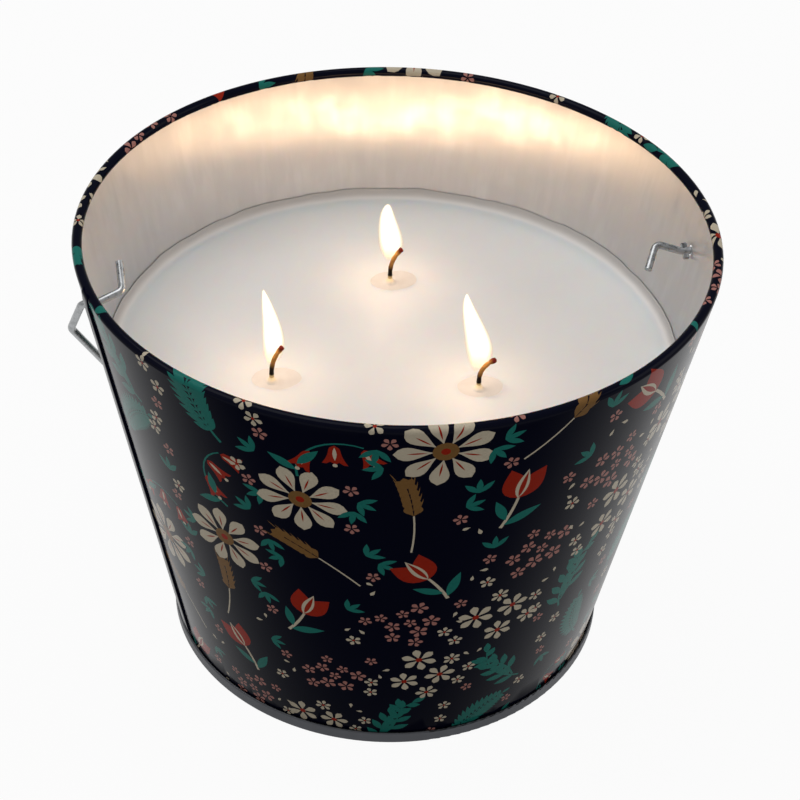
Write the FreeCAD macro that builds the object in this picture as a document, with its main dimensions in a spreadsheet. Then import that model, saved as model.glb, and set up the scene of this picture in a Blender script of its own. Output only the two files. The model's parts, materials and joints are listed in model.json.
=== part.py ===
import FreeCAD, Part
import math
import os
import Sketcher

# A tinplate candle bucket: a conical wall with a side seam and a rolled rim, a base folded
# onto it in a double seam, three wicks in poured wax, and a bent wire bail that pivots in
# two holes. Origin at the middle of the ground ring, Z up, bail holes on the X axis.

Vector = FreeCAD.Vector

SIZES = [
    ("RimRadius", 82.5, "outside radius of the rolled rim"),
    ("BucketHeight", 126.5, "ground to the top of the rim"),
    ("WallAngle", 10.28, "lean of the wall from upright, in degrees"),
    ("SheetThickness", 0.25, "tinplate of the wall and the base"),
    ("CurlRadius", 1.3, "outside radius of the rim curl"),
    ("CurlAngle", 262, "where the curl's raw edge ends, in degrees from outwards"),
    ("SeamHeight", 3.6, "height of the double seam at the base"),
    ("SeamGap", 0.03, "play between the folded layers of the double seam"),
    ("SeamCorner", 0.45, "outside radius of the double seam's lower corners"),
    ("HookGap", 0.5, "space that the sealing compound fills under the base's hook"),
    ("PanelLift", 2.6, "ground to the underside of the base panel"),
    ("LockSeamAngle", 192.15, "place of the side seam round the wall, in degrees"),
    ("LockSeamWidth", 5.0, "width of the folded side seam"),
    ("LockSeamRise", 0.6, "height of the side seam above the wall"),
    ("LockSeamSeat", 0.15, "depth of the side seam in the wall's sheet"),
    ("HoleDrop", 16.0, "top of the rim to the bail's pivot"),
    ("HoleRadius", 1.45, "bail holes in the wall"),
    ("WireRadius", 1.0, "bail wire"),
    ("WallClearance", 0.3, "bail wire to the wall at the holes"),
    ("RimClearance", 0.25, "bail wire to the rim when it passes upright"),
    ("HangClearance", 0.6, "arch of the hanging bail to the printed wall"),
    ("BailHeight", 115, "pivot to the middle of the bail's arch"),
    ("ShoulderDrop", 17, "pivot to the bail's lower bends"),
    ("LegAngle", 16, "inward lean of the bail below its shoulders, in degrees"),
    ("HookInset", 9.0, "bail's inner bends from the wall"),
    ("HookRise", 2.7, "bail's inner bends from the pivot line"),
    ("HookLength", 7.9, "straight end of the bail wire past its inner bend"),
    ("RightHookAngle", 26, "inward lean of the right end, in degrees"),
    ("BendRadius", 1.7, "centreline radius of the bail's sharp bends"),
    ("HookBendRadius", 3.4, "centreline radius of the bail's inner bends"),
    ("ShoulderRadius", 7, "centreline radius of the bail's lower bends"),
    ("EarLength", 1.7, "pinched stop on the wire, along the wire"),
    ("EarReach", 2.3, "pinched stop, from the wire's middle"),
    ("EarThickness", 0.9, "pinched stop, across"),
    ("EarChamfer", 0.25, "blunted edges of the pinched stops"),
    ("PrintThickness", 0.12, "layer of printed colour"),
    ("PrintGap", 0.03, "print to the wall at the middle of each field"),
    ("PrintMargin", 1.0, "bare edge below the rim and above the double seam"),
    ("PrintBailRoom", 21, "bare band at each bail hole, where the legs pass close"),
    ("PrintRowPitch", 23.05, "row to row of the printed motifs, up the wall"),
    ("PrintFirstRow", 2.8, "double seam to the first row of motifs"),
    ("PrintWave", 2, "rise and fall of a row of motifs"),
    ("PrintColumns", 18, "motifs in the lowest row and in every second row above it"),
    ("PrintSeamAngle", 10, "side seam to the first motif of such a row, in degrees"),
    ("PrintTurnAngle", 12, "step of the motifs' turns, in degrees"),
    ("WaxDrop", 39.3, "top of the rim to the wax"),
    ("WaxGap", 0.3, "gap that the wax leaves at the wall as it cools"),
    ("FitGap", 0.05, "wax to the pieces that it holds"),
    ("WickRadius", 0.7, "cotton wick"),
    ("WickStand", 1.5, "straight wick above the wax before it bends"),
    ("WickTipAngle", -12.35, "direction that the wick tips lean to, in degrees"),
    ("TabRadius", 10, "steel wick tab"),
    ("TabThickness", 0.3, "sheet of the wick tab"),
    ("NeckRadius", 1.6, "outside radius of the wick tab's neck"),
    ("NeckHeight", 6, "height of the wick tab's neck"),
    ("PadRadius", 9, "adhesive pad under a wick tab"),
    ("PadThickness", 0.8, "adhesive pad, thickness"),
    ("LeftInset", 47.2, "rim to the left wick, level with it"),
    ("LeftWickAngle", -165.85, "left wick round the axis, in degrees"),
    ("LeftTipRadius", 13.8, "bend radius of the left wick"),
    ("LeftTipAngle", 37, "turn of the left wick, in degrees"),
    ("RightInset", 55.2, "rim to the right wick, level with it"),
    ("RightWickAngle", -47.45, "right wick round the axis, in degrees"),
    ("RightTipRadius", 7.2, "bend radius of the right wick"),
    ("RightTipAngle", 63, "turn of the right wick, in degrees"),
    ("BackInset", 51.4, "rim to the back wick, level with it"),
    ("BackWickAngle", 81.15, "back wick round the axis, in degrees"),
    ("BackTipRadius", 11.5, "bend radius of the back wick"),
    ("BackTipAngle", 42, "turn of the back wick, in degrees"),
]

WICKS = ["Left", "Right", "Back"]

# Printed motifs in their order round the wall
MOTIFS = ["tulip", "twig", "daisy", "berries", "fern", "ear", "spray", "bells"]

# Fineness of the search for the angle at which the bail hangs
ARCH_STEPS = 60
HANG_STEP = 0.05
HANG_LIMIT = 60


class Size:
    """A measure that keeps its number and the spreadsheet formula that gives it."""

    def __init__(self, number, formula):
        self.number = number
        self.formula = formula

    def __add__(self, other):
        other = as_size(other)
        return Size(self.number + other.number, f"({self.formula} + {other.formula})")

    def __sub__(self, other):
        other = as_size(other)
        return Size(self.number - other.number, f"({self.formula} - {other.formula})")

    def __mul__(self, other):
        other = as_size(other)
        return Size(self.number * other.number, f"({self.formula} * {other.formula})")

    def __truediv__(self, other):
        other = as_size(other)
        return Size(self.number / other.number, f"({self.formula} / {other.formula})")


def as_size(value):
    return value if isinstance(value, Size) else Size(value, str(value))


def cosine(angle):
    return Size(math.cos(math.radians(angle.number)), f"cos({angle.formula} * 1 deg)")


def sine(angle):
    return Size(math.sin(math.radians(angle.number)), f"sin({angle.formula} * 1 deg)")


def tangent(angle):
    return Size(math.tan(math.radians(angle.number)), f"tan({angle.formula} * 1 deg)")


doc = FreeCAD.newDocument("candle_bucket")
sheet = doc.addObject("Spreadsheet::Sheet", "Sizes")
for row, (name, value, meaning) in enumerate(SIZES, start=1):
    sheet.set(f"A{row}", meaning)
    sheet.set(f"B{row}", str(value))
    sheet.setAlias(f"B{row}", name)
doc.recompute()


def size(name):
    return Size(float(sheet.get(name)), f"Sizes.{name}")


# Places that several pieces share
sheet_thickness = size("SheetThickness")
seam_gap = size("SeamGap")
lean = size("WallAngle")
curl = size("CurlRadius")
curl_x = size("RimRadius") - curl
curl_z = size("BucketHeight") - curl
rim_x = curl_x + curl * cosine(lean)
rim_z = curl_z - curl * sine(lean)
seam_height = size("SeamHeight")
floor_z = size("PanelLift") + sheet_thickness
hole_z = size("BucketHeight") - size("HoleDrop")
wax_z = size("BucketHeight") - size("WaxDrop")
zero = Size(0, "0")


def wall_radius(height):
    """Outside radius of the conical wall at a height."""
    return rim_x - (rim_z - height) * tangent(lean)


foot = wall_radius(seam_height)


def bind(thing, prop, value):
    thing.setExpression(prop, as_size(value).formula)


def origin_plane(body, role):
    return next(f for f in body.Origin.OriginFeatures if f.Role == role)


def new_body(label):
    body = doc.addObject("PartDesign::Body", label)
    body.Label = label
    return body


def new_sketch(body, name, role):
    sketch = body.newObject("Sketcher::SketchObject", name)
    sketch.AttachmentSupport = [(origin_plane(body, role), "")]
    sketch.MapMode = "FlatFace"
    return sketch


def pin(sketch, side, end, value, axis):
    """Holds one coordinate of a sketch point at a size's formula."""
    if value.formula == "0":
        line = -2 if axis == "DistanceX" else -1
        sketch.addConstraint(Sketcher.Constraint("PointOnObject", side, end, line))
        return
    number = sketch.addConstraint(Sketcher.Constraint(axis, -1, 1, side, end, value.number))
    sketch.setExpression(f"Constraints[{number}]", value.formula)


def draw_outline(sketch, corners):
    """A closed outline. A corner is (x, y), with (centre x, centre y, turn) after it where an
    arc leads to the next corner, turn being 1 for anticlockwise and -1 for clockwise."""
    sides = []
    for index, corner in enumerate(corners):
        following = corners[(index + 1) % len(corners)]
        start = Vector(corner[0].number, corner[1].number, 0)
        end = Vector(following[0].number, following[1].number, 0)
        if len(corner) == 2:
            sides.append((sketch.addGeometry(Part.LineSegment(start, end)), 1, 2))
            continue
        centre_x, centre_y, turn = corner[2]
        centre = Vector(centre_x.number, centre_y.number, 0)
        first, last = (start, end) if turn > 0 else (end, start)
        circle = Part.Circle(centre, Vector(0, 0, 1), (start - centre).Length)
        from_angle = math.atan2(first.y - centre.y, first.x - centre.x)
        to_angle = math.atan2(last.y - centre.y, last.x - centre.x)
        side = sketch.addGeometry(Part.ArcOfCircle(circle, from_angle, to_angle))
        sides.append((side, 1, 2) if turn > 0 else (side, 2, 1))
    for index, (side, start, end) in enumerate(sides):
        next_side, next_start, _ = sides[(index + 1) % len(sides)]
        sketch.addConstraint(Sketcher.Constraint("Coincident", side, end, next_side, next_start))
    for (side, start, end), corner, following in zip(sides, corners, corners[1:] + corners[:1]):
        pin(sketch, side, start, corner[0], "DistanceX")
        pin(sketch, side, start, corner[1], "DistanceY")
        if len(corner) == 3:
            across = abs(following[0].number - corner[0].number)
            upwards = abs(following[1].number - corner[1].number)
            if across >= upwards:
                pin(sketch, side, 3, corner[2][1], "DistanceY")
            else:
                pin(sketch, side, 3, corner[2][0], "DistanceX")


def turned_body(label, corners):
    """A body turned round the Z axis from an outline of (radius, height) corners."""
    body = new_body(label)
    sketch = new_sketch(body, label + "_section", "XZ_Plane")
    draw_outline(sketch, corners)
    turned = body.newObject("PartDesign::Revolution", label + "_turned")
    turned.Profile = sketch
    turned.ReferenceAxis = (sketch, ["V_Axis"])
    turned.Angle = 360
    sketch.Visibility = False
    return body


def make_wall():
    """Rolled cone with an inward rim curl, a hook for the double seam, a folded side seam
    and two bail holes."""
    inner_curl = curl - sheet_thickness
    turn_end = size("CurlAngle")
    hook_outer = (sheet_thickness * 3 + seam_gap * 2) / 2
    hook_x = foot - sheet_thickness + hook_outer
    hook_z = sheet_thickness + seam_gap + hook_outer
    hook_top = seam_height - hook_outer - seam_gap
    corners = [
        (rim_x, rim_z, (curl_x, curl_z, 1)),
        (curl_x + curl * cosine(turn_end), curl_z + curl * sine(turn_end)),
        (
            curl_x + inner_curl * cosine(turn_end),
            curl_z + inner_curl * sine(turn_end),
            (curl_x, curl_z, -1),
        ),
        (curl_x + inner_curl * cosine(lean), curl_z - inner_curl * sine(lean)),
        (foot - sheet_thickness, seam_height),
        (foot - sheet_thickness, hook_z, (hook_x, hook_z, 1)),
        (foot + sheet_thickness * 2 + seam_gap * 2, hook_z),
        (foot + sheet_thickness * 2 + seam_gap * 2, hook_top),
        (foot + sheet_thickness + seam_gap * 2, hook_top),
        (foot + sheet_thickness + seam_gap * 2, hook_z, (hook_x, hook_z, -1)),
        (foot, hook_z),
        (foot, seam_height),
    ]
    body = turned_body("bucket_wall", corners)

    seam = body.newObject("PartDesign::AdditiveBox", "lock_seam")
    sunk = size("LockSeamSeat")
    start_z = seam_height + sheet_thickness
    bind(seam, "Length", size("LockSeamRise") + sunk)
    bind(seam, "Width", size("LockSeamWidth"))
    bind(seam, "Height", (rim_z - start_z) / cosine(lean))
    heading = size("LockSeamAngle")
    start = (wall_radius(start_z) - sunk / cosine(lean)).number
    turn = FreeCAD.Rotation(Vector(0, 0, 1), heading.number)
    tilt = FreeCAD.Rotation(Vector(0, 1, 0), lean.number)
    corner = turn.multVec(Vector(start, -size("LockSeamWidth").number / 2, start_z.number))
    seam.Placement = FreeCAD.Placement(corner, turn.multiply(tilt))

    sketch = new_sketch(body, "bail_holes", "YZ_Plane")
    circle = Part.Circle(Vector(0, hole_z.number, 0), Vector(0, 0, 1), size("HoleRadius").number)
    hole = sketch.addGeometry(circle)
    pin(sketch, hole, 3, zero, "DistanceX")
    pin(sketch, hole, 3, hole_z, "DistanceY")
    radius = sketch.addConstraint(Sketcher.Constraint("Radius", hole, size("HoleRadius").number))
    sketch.setExpression(f"Constraints[{radius}]", size("HoleRadius").formula)
    pocket = body.newObject("PartDesign::Pocket", "bail_holes_cut")
    pocket.Profile = sketch
    pocket.Type = "ThroughAll"
    pocket.Midplane = True
    return body


def make_base():
    """Recessed base panel whose rim is folded round the wall's hook in a double seam."""
    corner = size("SeamCorner")
    fold = (sheet_thickness * 3 + seam_gap * 2) / 2
    inside = foot - sheet_thickness * 2 - seam_gap
    outside = foot + sheet_thickness * 3 + seam_gap * 3
    fold_x = foot + seam_gap + fold
    fold_z = seam_height - fold
    hook_bottom = sheet_thickness + seam_gap + fold + size("HookGap")
    corners = [
        (zero, size("PanelLift")),
        (inside, size("PanelLift")),
        (inside, corner, (inside + corner, corner, 1)),
        (inside + corner, zero),
        (outside - corner, zero, (outside - corner, corner, 1)),
        (outside, corner),
        (outside, fold_z, (fold_x, fold_z, 1)),
        (foot + seam_gap, fold_z),
        (foot + seam_gap, hook_bottom),
        (foot + seam_gap + sheet_thickness, hook_bottom),
        (foot + seam_gap + sheet_thickness, fold_z, (fold_x, fold_z, -1)),
        (outside - sheet_thickness, fold_z),
        (outside - sheet_thickness, corner, (outside - corner, corner, -1)),
        (outside - corner, sheet_thickness),
        (inside + corner, sheet_thickness, (inside + corner, corner, -1)),
        (inside + sheet_thickness, corner),
        (inside + sheet_thickness, floor_z),
        (zero, floor_z),
    ]
    return turned_body("bucket_base", corners)


def make_seal():
    """Ring of sealing compound under the base's hook, inside the double seam."""
    fold = (sheet_thickness * 3 + seam_gap * 2) / 2
    bottom = sheet_thickness + fold + seam_gap * 2
    top = sheet_thickness + fold + size("HookGap")
    inner = foot + seam_gap
    outer = foot + seam_gap + sheet_thickness
    return turned_body("seam_seal", [(inner, bottom), (outer, bottom), (outer, top), (inner, top)])


def place_at_wick(thing, wick, height):
    reach = size("RimRadius") - size(wick + "Inset")
    bind(thing, "Placement.Base.x", reach * cosine(size(wick + "WickAngle")))
    bind(thing, "Placement.Base.y", reach * sine(size(wick + "WickAngle")))
    bind(thing, "Placement.Base.z", height)


def make_pad(wick):
    pad = doc.addObject("Part::Cylinder", "wick_pad_" + wick.lower())
    pad.Label = "wick_pad_" + wick.lower()
    bind(pad, "Radius", size("PadRadius"))
    bind(pad, "Height", size("PadThickness"))
    place_at_wick(pad, wick, floor_z)
    return pad


def make_tab(wick):
    """Steel disc with a crimped neck that holds the wick upright."""
    thickness = size("TabThickness")
    corners = [
        (size("WickRadius"), zero),
        (size("TabRadius"), zero),
        (size("TabRadius"), thickness),
        (size("NeckRadius"), thickness),
        (size("NeckRadius"), size("NeckHeight")),
        (size("WickRadius"), size("NeckHeight")),
    ]
    tab = turned_body("wick_tab_" + wick.lower(), corners)
    place_at_wick(tab, wick, floor_z + size("PadThickness"))
    return tab


def make_wick(wick):
    """Round wick, straight through the wax and bent over at its burnt end."""
    label = "wick_" + wick.lower()
    body = new_body(label)
    section = new_sketch(body, label + "_section", "XY_Plane")
    thickness = size("WickRadius")
    circle = Part.Circle(Vector(0, 0, 0), Vector(0, 0, 1), thickness.number)
    ring = section.addGeometry(circle)
    section.addConstraint(Sketcher.Constraint("Coincident", ring, 3, -1, 1))
    radius = section.addConstraint(Sketcher.Constraint("Radius", ring, thickness.number))
    section.setExpression(f"Constraints[{radius}]", thickness.formula)

    start_z = floor_z + size("PadThickness")
    straight = wax_z + size("WickStand") - start_z
    bend = size(wick + "TipRadius")
    turn = size(wick + "TipAngle")
    tip_x = bend - bend * cosine(turn)
    tip_z = straight + bend * sine(turn)
    path = new_sketch(body, label + "_path", "XZ_Plane")
    stem = path.addGeometry(Part.LineSegment(Vector(0, 0, 0), Vector(0, straight.number, 0)))
    centre = Vector(bend.number, straight.number, 0)
    circle = Part.Circle(centre, Vector(0, 0, 1), bend.number)
    arc = path.addGeometry(Part.ArcOfCircle(circle, math.pi - math.radians(turn.number), math.pi))
    path.addConstraint(Sketcher.Constraint("Coincident", stem, 1, -1, 1))
    path.addConstraint(Sketcher.Constraint("Coincident", stem, 2, arc, 2))
    pin(path, stem, 2, zero, "DistanceX")
    pin(path, stem, 2, straight, "DistanceY")
    pin(path, arc, 1, tip_x, "DistanceX")
    pin(path, arc, 1, tip_z, "DistanceY")
    pin(path, arc, 3, bend, "DistanceX")

    pipe = body.newObject("PartDesign::AdditivePipe", label + "_swept")
    pipe.Profile = section
    pipe.Spine = path
    place_at_wick(body, wick, start_z)
    body.Placement.Rotation = FreeCAD.Rotation(Vector(0, 0, 1), 1)
    bind(body, "Placement.Rotation.Angle", size("WickTipAngle"))
    return body


def make_wax():
    """Poured wax from the base panel to its level, with room for the pieces that it holds."""
    shrink = size("WaxGap") + sheet_thickness
    gap = size("FitGap")
    poured = doc.addObject("Part::Cone", "wax_poured")
    bind(poured, "Radius1", wall_radius(floor_z + sheet_thickness) - shrink)
    bind(poured, "Radius2", wall_radius(wax_z) - shrink)
    bind(poured, "Height", wax_z - floor_z)
    bind(poured, "Placement.Base.z", floor_z)
    rooms = []
    for wick in WICKS:
        tab_z = floor_z + size("PadThickness")
        for name, radius, bottom, top in [
            ("pad", size("PadRadius"), floor_z - gap, tab_z),
            ("tab", size("TabRadius"), tab_z - gap, tab_z + size("TabThickness") + gap),
            ("neck", size("NeckRadius"), tab_z, tab_z + size("NeckHeight") + gap),
            ("wick", size("WickRadius"), tab_z, wax_z + gap),
        ]:
            room = doc.addObject("Part::Cylinder", f"{name}_room_{wick.lower()}")
            bind(room, "Radius", radius + gap)
            bind(room, "Height", top - bottom)
            place_at_wick(room, wick, bottom)
            rooms.append(room)
    taken = doc.addObject("Part::MultiFuse", "wax_rooms")
    taken.Shapes = rooms
    wax = doc.addObject("Part::Cut", "wax")
    wax.Label = "wax"
    wax.Base = poured
    wax.Tool = taken
    return wax


def rounded_wire(points, radii):
    """Straight runs through the points, each inner corner an arc of its radius."""
    edges = []
    start = points[0]
    for before, corner, after, radius in zip(points, points[1:], points[2:], radii):
        arriving = (corner - before).normalize()
        leaving = (after - corner).normalize()
        turn = arriving.getAngle(leaving)
        cut = radius * math.tan(turn / 2)
        arc_start = corner - arriving * cut
        arc_end = corner + leaving * cut
        middle_way = (leaving - arriving).normalize()
        arc_middle = corner + middle_way * (radius / math.cos(turn / 2) - radius)
        edges.append(Part.LineSegment(start, arc_start).toShape())
        edges.append(Part.Arc(arc_start, arc_middle, arc_end).toShape())
        start = arc_end
    edges.append(Part.LineSegment(start, points[-1]).toShape())
    return Part.Wire(edges)


def bail_profile():
    """Half of the bail in its own plane: (sideways, away from the pivot) of the top bend, the
    shoulder and the arch's start, and the arch's radius."""
    wire = size("WireRadius").number
    pivot_wall = wall_radius(hole_z).number
    top = pivot_wall + wire + size("WallClearance").number
    rise_to_rim = curl_z.number - hole_z.number
    slope = (size("RimRadius").number + size("RimClearance").number + wire - top) / rise_to_rim
    shoulder_w = size("ShoulderDrop").number
    shoulder = top + slope * shoulder_w
    leg_lean = math.radians(size("LegAngle").number)
    reach = size("BailHeight").number
    left = reach - shoulder_w - shoulder * (1 - math.sin(leg_lean)) / math.cos(leg_lean)
    share = math.cos(leg_lean) - math.tan(leg_lean) * (1 - math.sin(leg_lean))
    straight = left / share
    arch_x = shoulder - straight * math.sin(leg_lean)
    arch_w = shoulder_w + straight * math.cos(leg_lean)
    return top, (shoulder, shoulder_w), (arch_x, arch_w), arch_x / math.cos(leg_lean)


def hanging_angle():
    """Angle from straight down at which the hanging bail clears the wall, in radians."""
    radius = bail_profile()[3]
    centre_w = size("BailHeight").number - radius
    leg_lean = math.radians(size("LegAngle").number)
    slope = math.radians(lean.number)
    stand_off = size("WireRadius").number + size("HangClearance").number
    angle = 0.0
    for step in range(ARCH_STEPS):
        turn = leg_lean + (math.pi / 2 - leg_lean) * step / (ARCH_STEPS - 1)
        x = radius * math.cos(turn)
        w = centre_w + radius * math.sin(turn)
        for count in range(round(HANG_LIMIT / HANG_STEP)):
            tried = math.radians(count * HANG_STEP)
            height = hole_z.number - w * math.cos(tried)
            across = math.hypot(x, w * math.sin(tried))
            gap = (across - wall_radius(as_size(height)).number) * math.cos(slope)
            if gap >= stand_off:
                angle = max(angle, tried)
                break
    return angle


def make_bail():
    """Bent wire bail that hangs behind the bucket, its ends hooked inside the wall."""
    wire = size("WireRadius").number
    top, shoulder, arch, radius = bail_profile()
    hang = hanging_angle()
    away = Vector(0, math.sin(hang), -math.cos(hang))
    up = Vector(0, math.cos(hang), math.sin(hang))
    pivot = Vector(0, 0, hole_z.number)
    side = Vector(1, 0, 0)
    inner = wall_radius(hole_z).number - sheet_thickness.number
    ear_end = inner - size("WallClearance").number * 2
    ear_start = ear_end - size("EarLength").number
    corner_x = inner - size("HookInset").number
    rise = up * size("HookRise").number
    tip_lean = math.radians(size("RightHookAngle").number)
    hook = size("HookLength").number

    left_corner = pivot - side * corner_x + rise
    right_corner = pivot + side * corner_x + rise
    left_tip = left_corner + up * hook
    right_tip = right_corner - (up * math.cos(tip_lean) + side * math.sin(tip_lean)) * hook
    sharp = size("BendRadius").number
    round_hook = size("HookBendRadius").number
    gentle = size("ShoulderRadius").number

    def at(x, w):
        return pivot + side * x + away * w

    left_points = [
        left_tip,
        left_corner,
        pivot - side * ear_start,
        at(-top, 0),
        at(-shoulder[0], shoulder[1]),
        at(-arch[0], arch[1]),
    ]
    right_points = [
        at(arch[0], arch[1]),
        at(*shoulder),
        at(top, 0),
        pivot + side * ear_start,
        right_corner,
        right_tip,
    ]
    left_half = rounded_wire(left_points, [sharp, round_hook, sharp, gentle])
    right_half = rounded_wire(right_points, [gentle, sharp, round_hook, sharp])
    crown = Part.Arc(left_points[-1], at(0, size("BailHeight").number), right_points[0]).toShape()
    path = Part.Wire(left_half.Edges + [crown] + right_half.Edges)
    section = Part.Wire(Part.Circle(left_tip, up, wire).toShape())
    solid = path.makePipeShell([section], True, False)

    for way in (-1, 1):
        ear = Part.makeBox(
            size("EarLength").number,
            size("EarReach").number * 2,
            size("EarThickness").number,
            Vector(
                way * (ear_start + ear_end) / 2 - size("EarLength").number / 2,
                -size("EarReach").number,
                -size("EarThickness").number / 2,
            ),
        )
        ear = ear.makeChamfer(size("EarChamfer").number, ear.Edges)
        tilt = FreeCAD.Rotation(Vector(1, 0, 0), math.degrees(math.atan2(up.z, up.y)))
        ear.Placement = FreeCAD.Placement(pivot, tilt)
        solid = solid.fuse(ear)

    bail = doc.addObject("Part::Feature", "bail_handle")
    bail.Label = "bail_handle"
    bail.Shape = solid.removeSplitter()
    print("bail hangs at", round(math.degrees(hang), 2), "degrees from straight down")
    return bail


def kite(x, y, heading, length, width, belly=0.45):
    """Leaf or petal as a field of four corners, from its foot at (x, y) along its heading."""
    along = math.radians(heading)
    corners = []
    for forward, sideways in [(0, 0), (belly, -0.5), (1, 0), (belly, 0.5)]:
        corners.append((
            x + forward * length * math.cos(along) - sideways * width * math.sin(along),
            y + forward * length * math.sin(along) + sideways * width * math.cos(along),
        ))
    return corners


def star(x, y, radius, points, waist):
    """Blossom as a star of rounded-off points, or a polygon where the waist is 1."""
    corners = []
    for index in range(points * 2):
        turn = math.pi * index / points
        reach = radius if index % 2 == 0 else radius * waist
        corners.append((x + reach * math.cos(turn), y + reach * math.sin(turn)))
    return corners


def motif(kind):
    """Colour fields of one printed motif, in millimetres about its middle."""
    if kind == "tulip":
        petals = [("rust", kite(-0.9 - way * 0.2, -0.8, 106 + way * 32, 9, 3.4)) for way in (-1, 1)]
        leaves = [kite(1.0, -9.6, 48, 8.5, 2.6), kite(-1.0, -8, 138, 7, 2.3)]
        stem = [("cream", kite(0, -11.2, 94, 10, 1.2)), ("cream", kite(-1.2, 0.4, 106, 7, 1.0))]
        return petals + stem + [("teal", leaf) for leaf in leaves]
    if kind == "daisy":
        turns = [math.radians(60 * index) for index in range(6)]
        petals = [kite(3 * math.cos(t), 3 * math.sin(t), math.degrees(t), 7.5, 4.2) for t in turns]
        return [("cream", petal) for petal in petals] + [("ochre", star(0, 0, 2.6, 4, 1))]
    if kind == "fern":
        leaves = [kite(0, 5, 90, 7, 2.4)]
        for foot in (-8, -1):
            leaves += [kite(way * 0.6, foot, 90 - way * 42, 8, 2.6) for way in (-1, 1)]
        return [("teal", leaf) for leaf in leaves]
    if kind == "ear":
        return [("cream", kite(0, -12, 88, 11, 0.8)), ("ochre", kite(0.5, -0.6, 92, 13, 3.6))]
    if kind == "bells":
        bells = [kite(across, top, -90, 6.4, 4.8, 0.8) for across, top in [(-5, 1), (1, 5), (7, 2)]]
        return [("rust", bell) for bell in bells] + [("teal", kite(-5.5, -11.5, 40, 7, 2.4))]
    if kind == "spray":
        places = [(-4.8, 4.8, 5), (5.2, 2, 4.4), (-1.5, -5.8, 4.2)]
        return [("cream", star(x, y, radius, 4, 0.45)) for x, y, radius in places]
    if kind == "twig":
        leaves = [kite(way * 0.6, -9 + 4.5 * step, 90 - way * 38, 6.6, 2.6)
                  for step, way in enumerate((-1, 1, -1, 1))]
        return [("teal", leaf) for leaf in leaves]
    places = [(-4, -3), (4.5, -1), (-1, 4.5)]
    return [("pink", star(x, y, 2.4, 5, 0.5)) for x, y in places]


def print_layout():
    """Motifs in rows round the wall, odd rows with one motif less, so that none is on the side
    seam: (kind, angle in degrees, distance up the wall, turn in degrees)."""
    row_pitch = size("PrintRowPitch").number
    row_count = round(wall_length / row_pitch) + 1
    layout = []
    for row in range(row_count):
        count = round(size("PrintColumns").number) - row % 2
        first = size("PrintSeamAngle").number + row % 2
        step = (360 - 2 * first) / (count - 1)
        for column in range(count):
            angle = size("LockSeamAngle").number + first + step * column
            wave = size("PrintWave").number * math.sin(column * 2.4 + row)
            up = size("PrintFirstRow").number + row_pitch * row + wave
            turn = ((column * 97 + row * 61) % 9 - 4) * size("PrintTurnAngle").number
            kind = MOTIFS[(column * 3 + row * 5) % len(MOTIFS)]
            layout.append((kind, angle, up, turn))
    return layout


def print_plate(corners, angle, up, turn):
    """One colour field as a flat plate that touches the cone at its own middle, or None where
    it would reach a fold, the side seam or the legs of the bail."""
    spin = math.radians(turn)
    placed = [(x * math.cos(spin) - y * math.sin(spin), x * math.sin(spin) + y * math.cos(spin))
              for x, y in corners]
    middle_x = sum(x for x, _ in placed) / len(placed)
    middle_y = sum(y for _, y in placed) / len(placed)
    slope = math.radians(lean.number)
    radius = foot.number + (up + middle_y) * math.sin(slope)
    heading = math.radians(angle) + middle_x / radius
    height = seam_height.number + (up + middle_y) * math.cos(slope)
    margin = size("PrintMargin").number
    low = up + min(y for _, y in placed)
    high = up + max(y for _, y in placed)
    half_width = max(abs(x - middle_x) for x, _ in placed)
    seam_heading = math.radians(size("LockSeamAngle").number)
    seam_room = size("LockSeamWidth").number / 2 + margin + half_width
    if low < margin or high > wall_length - margin:
        return None
    if radius * abs(math.remainder(heading - seam_heading, 2 * math.pi)) < seam_room:
        return None
    bail_room = size("PrintBailRoom").number
    beside_hole = abs(math.remainder(heading, math.pi)) * radius < bail_room
    if beside_hole and height > hole_z.number - bail_room:
        return None
    level = Vector(math.cos(heading), math.sin(heading), 0)
    outward = level * math.cos(slope) - Vector(0, 0, math.sin(slope))
    upward = level * math.sin(slope) + Vector(0, 0, math.cos(slope))
    across = Vector(-math.sin(heading), math.cos(heading), 0)
    middle = level * radius + Vector(0, 0, height) + outward * size("PrintGap").number
    ring = [middle + across * (x - middle_x) + upward * (y - middle_y) for x, y in placed]
    field = Part.Face(Part.makePolygon(ring + ring[:1]))
    return field.extrude(outward * size("PrintThickness").number)


def make_prints():
    """One node for each printed colour."""
    plates = {"cream": [], "teal": [], "rust": [], "ochre": [], "pink": []}
    for kind, angle, up, turn in print_layout():
        for colour, corners in motif(kind):
            plate = print_plate(corners, angle, up, turn)
            if plate is not None:
                plates[colour].append(plate)
    prints = []
    for colour, solids in plates.items():
        feature = doc.addObject("Part::Feature", "print_" + colour)
        feature.Label = "print_" + colour
        feature.Shape = Part.makeCompound(solids)
        prints.append(feature)
    return prints


wall_length = ((rim_z - seam_height) / cosine(lean)).number
pieces =[make_wall(), make_base(), make_seal()] + make_prints()
for wick in WICKS:
    pieces += [make_pad(wick), make_tab(wick), make_wick(wick)]
pieces += [make_wax(), make_bail()]

doc.recompute()
for thing in doc.Objects:
    if "Invalid" in thing.State or "Error" in thing.State:
        raise RuntimeError(f"{thing.Name} failed: {thing.State}")
for piece in pieces:
    if piece.Shape.isNull() or not piece.Shape.isValid():
        raise RuntimeError(f"{piece.Label} has no valid shape")

os.makedirs("parts", exist_ok=True)
for piece in pieces:
    piece.Shape.exportStep(f"parts/{piece.Label}.step")
    box = piece.Shape.BoundBox
    print(f"{piece.Label}: {len(piece.Shape.Solids)} solid, {piece.Shape.Volume:.0f} mm3, "
          f"z {box.ZMin:.2f} to {box.ZMax:.2f}")
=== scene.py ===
import json
import math

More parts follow.
